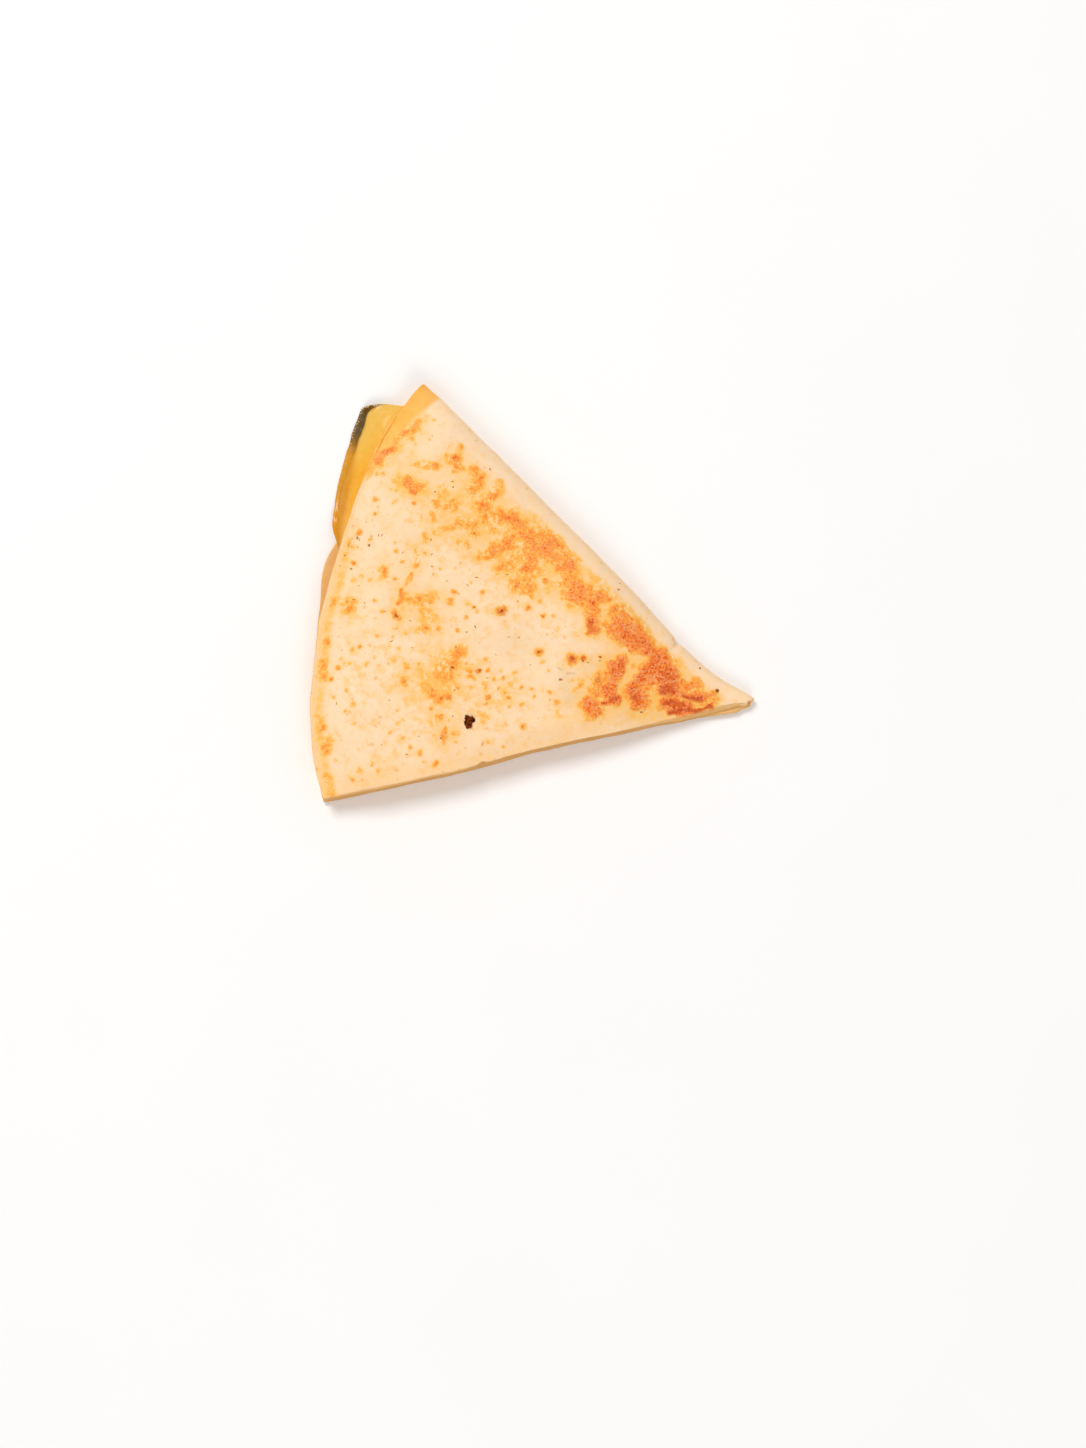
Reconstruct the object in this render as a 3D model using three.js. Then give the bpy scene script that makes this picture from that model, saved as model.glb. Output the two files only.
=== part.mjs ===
// Wedge of a cheese quesadilla.
//
// A flour tortilla is folded in half over melted cheese, toasted on both sides and cut into wedges.
// This is an end wedge. It has one straight folded side, one straight cut side, and the tortilla's
// round rim between them, where the cheese runs out in a tongue.
//
// Lengths are in millimetres and angles in degrees, with +Z up. The tip points along +X, the fold
// runs along the +Y side, the cut along the -Y side, and the rim is at -X. The origin lies under
// the middle of the bounding box, on the surface that the wedge rests on.

import * as THREE from "three";

// ---- The wedge's outline, in polar coordinates about its tip. The angle runs from the fold, at 0.

const WEDGE_ANGLE = 57;
const RADIUS = 123.7;
const RIM_AT_FOLD = { extra: 7, reach: 17, power: 2.2 }; // the rim swings out towards the fold
const RIM_AT_CUT = { lost: 0.8, reach: 7 }; // and its corner at the cut is worn round
const TIP_RADIUS = { atFold: 3.3, atCut: 2 }; // the blunt end of the tip

// ---- The tortilla's sheet, folded once

const TORTILLA = 2.0; // thickness
const RIM_THINNING = 0.3; // share of the thickness lost at the rim
const RIM_THINNING_WIDTH = 8;
const FOLD_ROUNDING = 8.5; // how far the round of the fold reaches into the wedge
const FOLD_TIGHTNESS = 0.7; // below 1, the fold's bend stays wider than half the thickness

// The fold leans out towards its tip and is drawn in a little behind it.
const FOLD_FLARE = { out: 3.3, reach: 9 };
const FOLD_DENT = { depth: 1, at: 27, width: 14 };

// The cut is drawn in a little over its first half. The upper flap is dragged back from the
// lower one all along it, most of all near the tip.
const CUT_DRAWN_IN = { depth: 1.5, from: 58, to: 88 };
const CUT_SETBACK = { least: 0.6, extra: 1.7, reach: 16 };

// The lower flap's rim shows a little past the upper one, and in one lobe beside the tongue.
const LOWER_RIM = { show: 0.5, by: 6, lobe: 2.8, lobeAt: 26.5, lobeWidth: 4.6 };

// ---- The filling between the two flaps

const FILLING = 7.6; // depth at the thickest
const TIP_GAP = 0.5; // gap between the flaps at the tip
const RISE = { from: 4, to: 58 }; // distances from the tip between which the filling deepens
const RIM_PINCH = { share: 0.42, width: 17 };
const RIM_DROOP = { share: 0.3, angle: 7, spread: 9, width: 12 }; // extra, over the cheese tongue
const CUT_PINCH = { share: 0.3, width: 9, at: 45, spread: 38 };
const SWELL_RISE = { from: 12, to: 45 };
const SWELLS = [
  // broad waves of the upper flap
  { height: 0.36, length: 46, direction: 20, phase: 0.6 },
  { height: 0.24, length: 31, direction: 105, phase: 2.1 },
  { height: 0.12, length: 17, direction: 64, phase: 4.0 },
];

// ---- The cheese

const CLEARANCE = 0.3; // between the cheese and the tortilla
const CHEESE_SETBACK = 1; // the cheese between the flaps ends this far inside their rim
const RIM_BULGE = 0.5; // and bulges out again by this much beside the tongue
const CUT_BULGE = 0.7;

// The tongue runs out past the rim between two angles, and reaches furthest near the fold.
const TONGUE = { from: 3, full: 7.3, thins: 19.5, to: 24, reach: 9, endReach: 3.6 };
const TONGUE_EDGE = 1.7; // its depth where it ends
const TONGUE_DROOP = { from: 0.6, to: 2.6, margin: 2.4 }; // reaches at which it sinks to the table
const TONGUE_CREST = [
  // shares of the way out to the tongue's edge, and of its fall
  { out: 0.3, down: 0.12 },
  { out: 0.65, down: 0.5 },
  { out: 0.92, down: 0.9 },
];

// ---- Faceting

const FOLD_STEPS = 5; // columns over each half of the fold's round
const FLAP_STEPS = 17; // columns from the round to the cut
const ROWS = 28; // from the tip to the rim
const FIRST_CHEESE_ROW = 3;
const HALF = FOLD_STEPS + FLAP_STEPS;
const FOLD_SHARE = 0.2; // share of the sheet's column parameter that the fold's round takes
const COLUMN_CROWDING = 1.4; // above 1, the columns lie closer together beside the fold
const ROW_CROWDING = 1.15; // above 1, the rows lie closer together at the rim
const SLOPE_STEP = { u: 1e-3, r: 1e-2 }; // small steps that a surface's slope is measured over

// ---- Small helpers

const rad = THREE.MathUtils.degToRad;
const smooth = (from, to, x) => THREE.MathUtils.smoothstep(x, from, to);
const bell = (x, centre, width) => Math.exp(-(((x - centre) / width) ** 2));

// Unit vectors along the fold, away from the tip, and across the wedge, from the fold to the cut.
const FOLD_HEADING = rad(180 - WEDGE_ANGLE / 2);
const ALONG = new THREE.Vector3(Math.cos(FOLD_HEADING), Math.sin(FOLD_HEADING), 0);
const ACROSS = new THREE.Vector3(-Math.sin(FOLD_HEADING), Math.cos(FOLD_HEADING), 0);

// The point that is `along` the fold from the tip, `across` from it and `z` above the table.
function place(along, across, z) {
  return new THREE.Vector3()
    .addScaledVector(ALONG, along)
    .addScaledVector(ACROSS, across)
    .setZ(z);
}

// ---- The outline

// Distance from the tip to the upper flap's rim.
function upperRim(angle) {
  const swing = RIM_AT_FOLD.extra * Math.exp(-((angle / RIM_AT_FOLD.reach) ** RIM_AT_FOLD.power));
  return RADIUS + swing - RIM_AT_CUT.lost * smooth(WEDGE_ANGLE - RIM_AT_CUT.reach, WEDGE_ANGLE, angle);
}

// Distance from the tip to the lower flap's rim. The two flaps share one rim at the fold.
function lowerRim(angle) {
  const lobe = LOWER_RIM.lobe * bell(angle, LOWER_RIM.lobeAt, LOWER_RIM.lobeWidth);
  return upperRim(angle) + (LOWER_RIM.show + lobe) * smooth(0, LOWER_RIM.by, angle);
}

// How far the folded side stands out of the straight line through the tip.
function foldOut(r) {
  const flare = FOLD_FLARE.out * bell(r, 0, FOLD_FLARE.reach);
  return flare - FOLD_DENT.depth * bell(r, FOLD_DENT.at, FOLD_DENT.width);
}

// Distance across the wedge from the fold's line to the cut, on the upper (1) or lower (-1) flap.
function cutLine(r, flap) {
  const drawnIn = CUT_DRAWN_IN.depth * (1 - smooth(CUT_DRAWN_IN.from, CUT_DRAWN_IN.to, r));
  const setback = flap > 0 ? CUT_SETBACK.least + CUT_SETBACK.extra * bell(r, 0, CUT_SETBACK.reach) : 0;
  return r * Math.sin(rad(WEDGE_ANGLE) - (drawnIn + setback) / r);
}

// ---- Depths

function swell(x, y) {
  let height = 0;
  for (const w of SWELLS) {
    const way = x * Math.cos(rad(w.direction)) + y * Math.sin(rad(w.direction));
    height += w.height * Math.sin((2 * Math.PI * way) / w.length + w.phase);
  }
  return height;
}

// Depth of the space between the flaps' facing sides.
function fillingDepth(r, angle) {
  const rim = upperRim(angle);
  const fromCut = r * Math.sin(rad(Math.max(0, WEDGE_ANGLE - angle)));
  const rise = smooth(RISE.from, RISE.to, r);
  const pinch = RIM_PINCH.share * smooth(rim - RIM_PINCH.width, rim, r);
  const overTongue = bell(angle, RIM_DROOP.angle, RIM_DROOP.spread);
  const droop = RIM_DROOP.share * smooth(rim - RIM_DROOP.width, rim, r) * overTongue;
  const besideCut = 1 - smooth(0, CUT_PINCH.width, fromCut);
  const knife = CUT_PINCH.share * besideCut * bell(r, CUT_PINCH.at, CUT_PINCH.spread);
  const heading = FOLD_HEADING + rad(angle);
  const flatter = smooth(SWELL_RISE.from, SWELL_RISE.to, r);
  const waves = swell(r * Math.cos(heading), r * Math.sin(heading)) * flatter;
  return TIP_GAP + (FILLING - TIP_GAP + waves) * rise * (1 - pinch - droop) * (1 - knife);
}

function tortillaThickness(r, angle, flap) {
  const rim = flap > 0 ? upperRim(angle) : lowerRim(angle);
  return TORTILLA * (1 - RIM_THINNING * smooth(rim - RIM_THINNING_WIDTH, rim, r));
}

// ---- The folded sheet's middle surface
//
// u runs from -1, the lower flap's cut edge, through 0, the fold, to 1, the upper flap's cut edge.

// Distance across the wedge of the sheet's column u, at distance r from the tip.
function columnAcross(u, r) {
  const flap = u < 0 ? -1 : 1;
  const out = foldOut(r);
  const width = cutLine(r, flap) + out;
  const half = (TORTILLA + fillingDepth(r, 0)) / 2;
  const round = Math.min(FOLD_ROUNDING, (FOLD_TIGHTNESS * half ** 2) / (TORTILLA / 2), width / 2);
  const share = Math.abs(u);
  if (share <= FOLD_SHARE) {
    const turn = ((share / FOLD_SHARE) * Math.PI) / 2;
    return round * (1 - Math.cos(turn)) - out;
  }
  return round + ((width - round) * (share - FOLD_SHARE)) / (1 - FOLD_SHARE) - out;
}

// The angle about the tip at which column u meets the rim.
function columnAngle(u) {
  return Math.max(0, THREE.MathUtils.radToDeg(Math.asin(columnAcross(u, RADIUS) / RADIUS)));
}

function middle(u, r) {
  const across = columnAcross(u, r);
  const along = Math.sqrt(Math.max(0, r * r - across * across));
  const angle = Math.max(0, THREE.MathUtils.radToDeg(Math.atan2(across, along)));
  const share = Math.abs(u) / FOLD_SHARE;
  const lift = share < 1 ? Math.sin((share * Math.PI) / 2) : 1;
  const half = (TORTILLA + fillingDepth(r, angle)) / 2;
  return place(along, across, TORTILLA / 2 + half * (1 + Math.sign(u) * lift));
}

// The sheet's outward normal at column u and distance r.
function outward(u, r) {
  const alongR = middle(u, r + SLOPE_STEP.r).sub(middle(u, r - SLOPE_STEP.r));
  const [before, after] = [Math.max(-1, u - SLOPE_STEP.u), Math.min(1, u + SLOPE_STEP.u)];
  const alongU = middle(after, r).sub(middle(before, r));
  return alongR.cross(alongU).normalize();
}

// Column parameters from one cut edge round the fold to the other.
function columns() {
  const half = [];
  for (let j = 1; j <= FOLD_STEPS; j++) half.push((FOLD_SHARE * j) / FOLD_STEPS);
  for (let j = 1; j <= FLAP_STEPS; j++) {
    half.push(FOLD_SHARE + (1 - FOLD_SHARE) * (j / FLAP_STEPS) ** COLUMN_CROWDING);
  }
  return [...half.map((u) => -u).reverse(), 0, ...half];
}

// Row parameters, from 0 at the tip to 1 at the rim.
const ROW_SHARES = Array.from({ length: ROWS + 1 }, (_, i) => 1 - (1 - i / ROWS) ** ROW_CROWDING);

// ---- Meshes

// Distance from the tip of column u's point in the row that lies at this share of the way out.
function rowRadius(u, share, rim) {
  const tip = THREE.MathUtils.lerp(TIP_RADIUS.atFold, TIP_RADIUS.atCut, Math.abs(u));
  return THREE.MathUtils.lerp(tip, rim, share);
}

// Collects faces over shared vertices.
class Skin {
  constructor() {
    this.points = [];
    this.faces = [];
  }

  point(p) {
    return this.points.push(p.x, p.y, p.z) / 3 - 1;
  }

  // Quads between two rows of vertices. They face along (one to two) x (first to next).
  strip(one, two) {
    for (let j = 0; j + 1 < one.length; j++) {
      this.faces.push(one[j], two[j], two[j + 1], one[j], two[j + 1], one[j + 1]);
    }
  }

  geometry() {
    const g = new THREE.BufferGeometry();
    g.setAttribute("position", new THREE.Float32BufferAttribute(this.points, 3));
    g.setIndex(this.faces);
    g.computeVertexNormals();
    return g;
  }
}

// The tortilla: the folded sheet's two skins, joined by walls along all four of its edges.
function tortillaGeometry() {
  const skin = new Skin();
  const [outer, inner] = [[], []];
  for (const share of ROW_SHARES) {
    const [outerRow, innerRow] = [[], []];
    for (const u of columns()) {
      const angle = columnAngle(u);
      const rim = u > 0 ? upperRim(angle) : lowerRim(angle);
      const r = rowRadius(u, share, rim);
      const half = tortillaThickness(r, angle, u) / 2;
      const normal = outward(u, r);
      const outerPoint = middle(u, r).addScaledVector(normal, half);
      if (u <= -FOLD_SHARE) outerPoint.setZ(0); // the lower flap rests flat
      outerRow.push(skin.point(outerPoint));
      innerRow.push(skin.point(middle(u, r).addScaledVector(normal, -half)));
    }
    outer.push(outerRow);
    inner.push(innerRow);
  }
  for (let i = 0; i < ROWS; i++) {
    skin.strip(outer[i], outer[i + 1]);
    skin.strip(inner[i + 1], inner[i]);
  }
  const column = (grid, j) => grid.map((row) => row[j]);
  skin.strip(inner[0], outer[0]);
  skin.strip(outer[ROWS], inner[ROWS]);
  skin.strip(column(outer, 0), column(inner, 0));
  skin.strip(column(inner, 2 * HALF), column(outer, 2 * HALF));
  return skin.geometry();
}

// Distance from the tip to the cheese's outer edge.
function cheeseEdge(angle) {
  const rise = smooth(TONGUE.from, TONGUE.full, angle);
  const fall = 1 - smooth(TONGUE.thins, TONGUE.to, angle);
  const reach = THREE.MathUtils.mapLinear(angle, TONGUE.full, TONGUE.thins, TONGUE.reach, TONGUE.endReach);
  const beside = RIM_BULGE - CHEESE_SETBACK;
  return upperRim(angle) + THREE.MathUtils.lerp(beside, reach, rise * fall);
}

// How far the tongue droops to the table, from 0 to 1. It clears the lower flap on both sides first.
function tongueDroop(angle) {
  const past = (a) => cheeseEdge(a) - lowerRim(a) - CLEARANCE;
  const clear = (a) => smooth(TONGUE_DROOP.from, TONGUE_DROOP.to, past(a));
  const [before, after] = [Math.max(0, angle - TONGUE_DROOP.margin), angle + TONGUE_DROOP.margin];
  return Math.min(clear(before), clear(angle), clear(after));
}

// A point on the cheese's lining of the tortilla, at column u of one row.
function lining(u, share) {
  const angle = columnAngle(u);
  const rim = u < 0 ? Math.min(upperRim(angle), lowerRim(angle)) : upperRim(angle);
  const r = Math.min(rowRadius(u, share, rim), rim - CHEESE_SETBACK);
  const inset = tortillaThickness(r, angle, u) / 2 + CLEARANCE;
  return middle(u, r).addScaledVector(outward(u, r), -inset);
}

// The cheese's section past the rim at column u: the points that follow the lining's last one.
// The upper ones fall towards the edge. The lower ones step round the lower flap's rim.
function rimSection(u) {
  const start = lining(u, 1);
  const heading = Math.atan2(start.y, start.x);
  const angle = Math.max(0, THREE.MathUtils.radToDeg(Math.atan2(start.dot(ACROSS), start.dot(ALONG))));
  const [radius, edge, droop] = [Math.hypot(start.x, start.y), cheeseEdge(angle), tongueDroop(angle)];
  const flapEnd = lowerRim(angle) + CLEARANCE;
  const at = (r, z) => new THREE.Vector3(r * Math.cos(heading), r * Math.sin(heading), z);
  if (u > 0) {
    const crest = THREE.MathUtils.lerp(start.z, TONGUE_EDGE, droop);
    return TONGUE_CREST.map(({ out, down }) =>
      at(THREE.MathUtils.lerp(radius, edge, out), THREE.MathUtils.lerp(start.z, crest, down)),
    );
  }
  const low = THREE.MathUtils.lerp(start.z, 0, droop);
  const foot = Math.min(flapEnd, THREE.MathUtils.lerp(radius, edge, 0.5));
  return [at(foot, start.z), at(foot, low), at(edge, low)];
}

// The cheese: it lines both flaps and the fold, bulges at the cut and runs out at the rim.
function cheeseGeometry() {
  const skin = new Skin();
  const loops = [];
  const addLoop = (points) => {
    const [first, last] = [points[0], points[2 * HALF]];
    const bulge = first.clone().lerp(last, 0.5).addScaledVector(ACROSS, CUT_BULGE);
    const loop = [...points, bulge].map((p) => skin.point(p));
    loops.push([...loop, loop[0]]);
  };
  for (const share of ROW_SHARES.slice(FIRST_CHEESE_ROW)) addLoop(columns().map((u) => lining(u, share)));
  const sections = columns().map((u) => rimSection(u));
  for (const k of sections[0].keys()) addLoop(sections.map((section) => section[k]));
  for (let i = 0; i + 1 < loops.length; i++) skin.strip(loops[i], loops[i + 1]);

  // Each end is closed between its upper and its lower half, from the fold to the cut's bulge.
  const upperHalf = (loop) => loop.slice(HALF, 2 * HALF + 1);
  const lowerHalf = (loop) => loop.slice(0, HALF + 1).reverse();
  const close = (one, two, bulge) => {
    skin.faces.push(one[0], one[1], two[1]);
    skin.strip(two.slice(1), one.slice(1));
    skin.faces.push(one[HALF], bulge, two[HALF]);
  };
  const [start, end] = [loops[0], loops[loops.length - 1]];
  const bulgeAt = 2 * HALF + 1;
  close(upperHalf(start), lowerHalf(start), start[bulgeAt]);
  close(lowerHalf(end), upperHalf(end), end[bulgeAt]);
  return skin.geometry();
}

// ---- Assembly

function piece(name, geometry, color, roughness) {
  const mesh = new THREE.Mesh(geometry, new THREE.MeshStandardMaterial({ color, roughness, metalness: 0 }));
  mesh.name = name;
  return mesh;
}

const wedge = new THREE.Group();
wedge.add(piece("folded_tortilla", tortillaGeometry(), 0xf0cb97, 0.75));
wedge.add(piece("melted_cheese", cheeseGeometry(), 0xf8c05c, 0.4));

const box = new THREE.Box3().setFromObject(wedge);
const centre = box.getCenter(new THREE.Vector3());
for (const mesh of wedge.children) mesh.geometry.translate(-centre.x, -centre.y, -box.min.z);

export default wedge;
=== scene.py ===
# %% [markdown]
# # A wedge of cheese quesadilla
#
# A flour tortilla is folded in half over grated cheese, toasted on both sides in a dry pan and cut
# into wedges. This lesson dresses one end wedge. It has a folded side, a cut side, and the
# tortilla's round rim, where the melted cheese has run out in a tongue.
#
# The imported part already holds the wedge's true size, so the lesson starts by loading it. Every
# piece made here is in metres, in the same frame: the tip points along +X, the fold runs along the
# +Y side, the cut along the -Y side, and +Z is up.

import math

import bpy
import numpy as np
from mathutils import Matrix, Vector


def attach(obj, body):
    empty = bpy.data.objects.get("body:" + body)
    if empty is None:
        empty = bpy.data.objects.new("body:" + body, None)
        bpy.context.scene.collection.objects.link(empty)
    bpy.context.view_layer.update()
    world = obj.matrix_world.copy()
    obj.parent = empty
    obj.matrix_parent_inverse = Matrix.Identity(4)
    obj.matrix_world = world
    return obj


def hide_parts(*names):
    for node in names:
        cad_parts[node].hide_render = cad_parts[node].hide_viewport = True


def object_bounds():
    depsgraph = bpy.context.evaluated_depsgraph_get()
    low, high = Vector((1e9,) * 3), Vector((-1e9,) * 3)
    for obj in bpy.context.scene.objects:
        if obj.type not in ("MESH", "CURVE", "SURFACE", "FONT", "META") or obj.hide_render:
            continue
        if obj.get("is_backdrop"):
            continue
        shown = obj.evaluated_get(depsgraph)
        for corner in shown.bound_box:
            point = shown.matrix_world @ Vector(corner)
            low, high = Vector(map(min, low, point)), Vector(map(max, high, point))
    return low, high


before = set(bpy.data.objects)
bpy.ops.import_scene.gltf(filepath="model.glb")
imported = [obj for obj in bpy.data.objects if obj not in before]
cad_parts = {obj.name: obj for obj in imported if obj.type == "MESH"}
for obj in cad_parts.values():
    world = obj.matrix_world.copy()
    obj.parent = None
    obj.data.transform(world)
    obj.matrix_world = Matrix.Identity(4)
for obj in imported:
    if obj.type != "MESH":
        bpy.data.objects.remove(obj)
CAD_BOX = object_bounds()
print("frame nodes:", sorted(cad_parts))

# %% [markdown]
# ## Sizes
#
# All sizes are in millimetres, as a cook would measure them, and a mesh is scaled to metres once,
# when it is made. The wedge is measured from its tip: a distance from the tip, and an angle that
# runs from 0 at the fold to 57 degrees at the cut.

# %% Driving sizes
MM = 0.001
TIP_AT = (64.644, -2.049)  # where the tip lies in the part's frame

WEDGE_ANGLE = 57.0
RADIUS = 123.7
RIM_AT_FOLD = dict(extra=7.0, reach=17.0, power=2.2)
RIM_AT_CUT = dict(lost=0.8, reach=7.0)
TIP_RADIUS = dict(at_fold=3.3, lower_flap=1.5, at_lower_cut=3.4, at_upper_cut=3.0)

TORTILLA = 2.0
RIM_THINNING = dict(share=0.3, width=8.0)
FOLD_ROUNDING = 8.5
FOLD_TIGHTNESS = 0.7

FILLING = 7.6
TIP_GAP = 0.04

print("tortilla", TORTILLA, "mm thick, filling", FILLING, "mm deep")

# %% [markdown]
# ## Small mathematical helpers
#
# Most forms here are a smooth step, a bell or gentle noise. The noise is a table of random heights
# on a square lattice, blended smoothly, so it gives the same bumps each time from the same seed.


# %% Steps, bells and noise
def smooth(start, end, x):
    t = np.clip((x - start) / (end - start), 0, 1)
    return t * t * (3 - 2 * t)


def bell(x, centre, width):
    return np.exp(-(((x - centre) / width) ** 2))


def mix(a, b, share):
    return a + (b - a) * share


NOISE_TABLE = 128


def bumps(x, y, size, seed):
    """Smooth random heights from -1 to 1, with bumps about `size` apart."""
    table = np.random.default_rng(seed).uniform(-1, 1, (NOISE_TABLE, NOISE_TABLE))
    x, y = np.broadcast_arrays(np.asarray(x, float) / size, np.asarray(y, float) / size)
    i, j = np.floor(x).astype(int), np.floor(y).astype(int)
    s, t = smooth(0, 1, x - i), smooth(0, 1, y - j)

    def at(column, row):
        return table[column % NOISE_TABLE, row % NOISE_TABLE]

    near = mix(at(i, j), at(i + 1, j), s)
    far = mix(at(i, j + 1), at(i + 1, j + 1), s)
    return mix(near, far, t)


def rough(x, y, size, seed):
    """Three octaves of bumps, for outlines that are uneven at every scale."""
    total = bumps(x, y, size, seed) + 0.5 * bumps(x, y, size / 2, seed + 1)
    return (total + 0.25 * bumps(x, y, size / 4, seed + 2)) / 1.75


print("noise at one place:", round(float(bumps(3.3, 4.4, 2.0, 1)), 3))

# %% [markdown]
# ## The wedge's outline
#
# The rim of a tortilla is nearly round, but baking and folding pull it about. Here it swings out
# near the fold, and every edge wavers by a fraction of a millimetre. The knife drags the upper flap
# back from the lower one, so a thin strip of the lower flap shows along the cut. One small nick
# breaks the folded edge near the tip.

# %% Outline
LOWER_RIM = dict(show=0.5, by=6.0, lobe=2.8, lobe_at=26.5, lobe_width=4.6)
FOLD_FLARE = dict(out=3.3, reach=9.0)
FOLD_DENT = dict(depth=1.0, at=27.0, width=14.0)
FOLD_NICK = dict(depth=1.1, at=28.4, width=1.2)
CUT_DRAWN_IN = dict(depth=1.5, start=58.0, end=88.0)
CUT_SETBACK = dict(least=1.2, extra=1.0, reach=18.0)
CUT_NICK = dict(depth=0.6, at=77.0, width=1.1)
CUT_SLANT = dict(least=0.4, extra=1.5, reach=24.0)  # the knife leaned, most of all at the tip
TIP_SPREAD = dict(out=0.9, reach=11.0)  # the lower flap is squeezed out at the tip
WAVER = dict(rim=0.4, lower_rim=0.2, fold=0.18, cut=0.2)


def upper_rim(angle):
    a = np.maximum(angle, 0)
    swing = RIM_AT_FOLD["extra"] * np.exp(-((a / RIM_AT_FOLD["reach"]) ** RIM_AT_FOLD["power"]))
    corner = RIM_AT_CUT["lost"] * smooth(WEDGE_ANGLE - RIM_AT_CUT["reach"], WEDGE_ANGLE, a)
    return RADIUS + swing - corner + WAVER["rim"] * rough(a, 0, 5.5, 11) * smooth(0, 8, a)


def lower_rim(angle):
    a = np.maximum(angle, 0)
    lobe = LOWER_RIM["lobe"] * bell(a, LOWER_RIM["lobe_at"], LOWER_RIM["lobe_width"])
    own = WAVER["lower_rim"] * rough(a, 0, 4.0, 17)
    return upper_rim(a) + (LOWER_RIM["show"] + lobe + own) * smooth(0, LOWER_RIM["by"], a)


def fold_out(r):
    flare = FOLD_FLARE["out"] * bell(r, 0, FOLD_FLARE["reach"])
    dent = FOLD_DENT["depth"] * bell(r, FOLD_DENT["at"], FOLD_DENT["width"])
    nick = FOLD_NICK["depth"] * bell(r, FOLD_NICK["at"], FOLD_NICK["width"])
    return flare - dent - nick + WAVER["fold"] * rough(r, 0, 9.0, 23) * smooth(5, 20, r)


def cut_line(r, upper):
    """Distance across the wedge from the fold's straight line to the cut edge of a flap."""
    drawn_in = CUT_DRAWN_IN["depth"] * (1 - smooth(CUT_DRAWN_IN["start"], CUT_DRAWN_IN["end"], r))
    setback = CUT_SETBACK["least"] + CUT_SETBACK["extra"] * bell(r, 0, CUT_SETBACK["reach"])
    waver = WAVER["cut"] * rough(r, np.where(upper, 40, 0), 7.0, 31) * smooth(4, 15, r)
    setback = setback + CUT_NICK["depth"] * bell(r, CUT_NICK["at"], CUT_NICK["width"])
    spread = TIP_SPREAD["out"] * bell(r, 0, TIP_SPREAD["reach"])
    inset = drawn_in + np.where(upper, setback, -spread) + waver
    return r * np.sin(np.radians(WEDGE_ANGLE) - inset / r)


def cut_slant(r):
    """How far the knife's lean brings the foot of the upper flap's cut out past its top."""
    return CUT_SLANT["least"] + CUT_SLANT["extra"] * bell(r, 0, CUT_SLANT["reach"])


print("rim", [round(float(upper_rim(a)), 1) for a in (0, 10, 20, 40, 57)], "mm from the tip")

# %% [markdown]
# ## The filling's depth
#
# The space between the flaps follows the cheese. It is thin at the tip and deepest in the middle,
# and the flaps sink together towards the rim and a little along the cut. Broad low waves keep the
# upper flap from looking like a board.

# %% Depth of the filling
RISE = dict(start=4.0, end=58.0)
RIM_PINCH = dict(share=0.42, width=17.0)
RIM_DROOP = dict(share=0.3, angle=7.0, spread=9.0, width=12.0)
CUT_PINCH = dict(share=0.3, width=9.0, at=45.0, spread=38.0)
SWELL_RISE = dict(start=12.0, end=45.0)
SWELLS = (
    dict(height=0.36, length=46.0, direction=20.0, phase=0.6),
    dict(height=0.24, length=31.0, direction=105.0, phase=2.1),
    dict(height=0.12, length=17.0, direction=64.0, phase=4.0),
)
FOLD_HEADING = math.radians(180 - WEDGE_ANGLE / 2)
ALONG = np.array([math.cos(FOLD_HEADING), math.sin(FOLD_HEADING), 0])
ACROSS = np.array([-math.sin(FOLD_HEADING), math.cos(FOLD_HEADING), 0])


def swell(x, y):
    height = 0
    for wave in SWELLS:
        turn = math.radians(wave["direction"])
        way = x * math.cos(turn) + y * math.sin(turn)
        height = height + wave["height"] * np.sin(2 * math.pi * way / wave["length"] + wave["phase"])
    return height


def filling_depth(r, angle):
    rim = upper_rim(angle)
    from_cut = r * np.sin(np.radians(np.maximum(0, WEDGE_ANGLE - angle)))
    rise = smooth(RISE["start"], RISE["end"], r)
    pinch = RIM_PINCH["share"] * smooth(rim - RIM_PINCH["width"], rim, r)
    over_tongue = bell(angle, RIM_DROOP["angle"], RIM_DROOP["spread"])
    droop = RIM_DROOP["share"] * smooth(rim - RIM_DROOP["width"], rim, r) * over_tongue
    beside_cut = 1 - smooth(0, CUT_PINCH["width"], from_cut)
    knife = CUT_PINCH["share"] * beside_cut * bell(r, CUT_PINCH["at"], CUT_PINCH["spread"])
    heading = FOLD_HEADING + np.radians(angle)
    waves = swell(r * np.cos(heading), r * np.sin(heading))
    waves = waves * smooth(SWELL_RISE["start"], SWELL_RISE["end"], r)
    return TIP_GAP + (FILLING - TIP_GAP + waves) * rise * (1 - pinch - droop) * (1 - knife)


def thickness(r, rim):
    thinned = RIM_THINNING["share"] * smooth(rim - RIM_THINNING["width"], rim, r)
    return TORTILLA * (1 - thinned)


print("depth along the middle:", [round(float(filling_depth(r, 28)), 1) for r in (10, 40, 80, 120)])

# %% [markdown]
# ## The folded sheet's middle surface
#
# The tortilla is one sheet, so it is made as one grid. A column runs from the tip to the rim. The
# columns go from the lower flap's cut edge (u = -1), round the fold (u = 0), to the upper flap's cut
# edge (u = 1). Beside the fold a column's height follows a quarter of an ellipse, which gives the
# soft round that a thick warm tortilla folds to.

# %% Middle surface
FOLD_SHARE = 0.2


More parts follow.
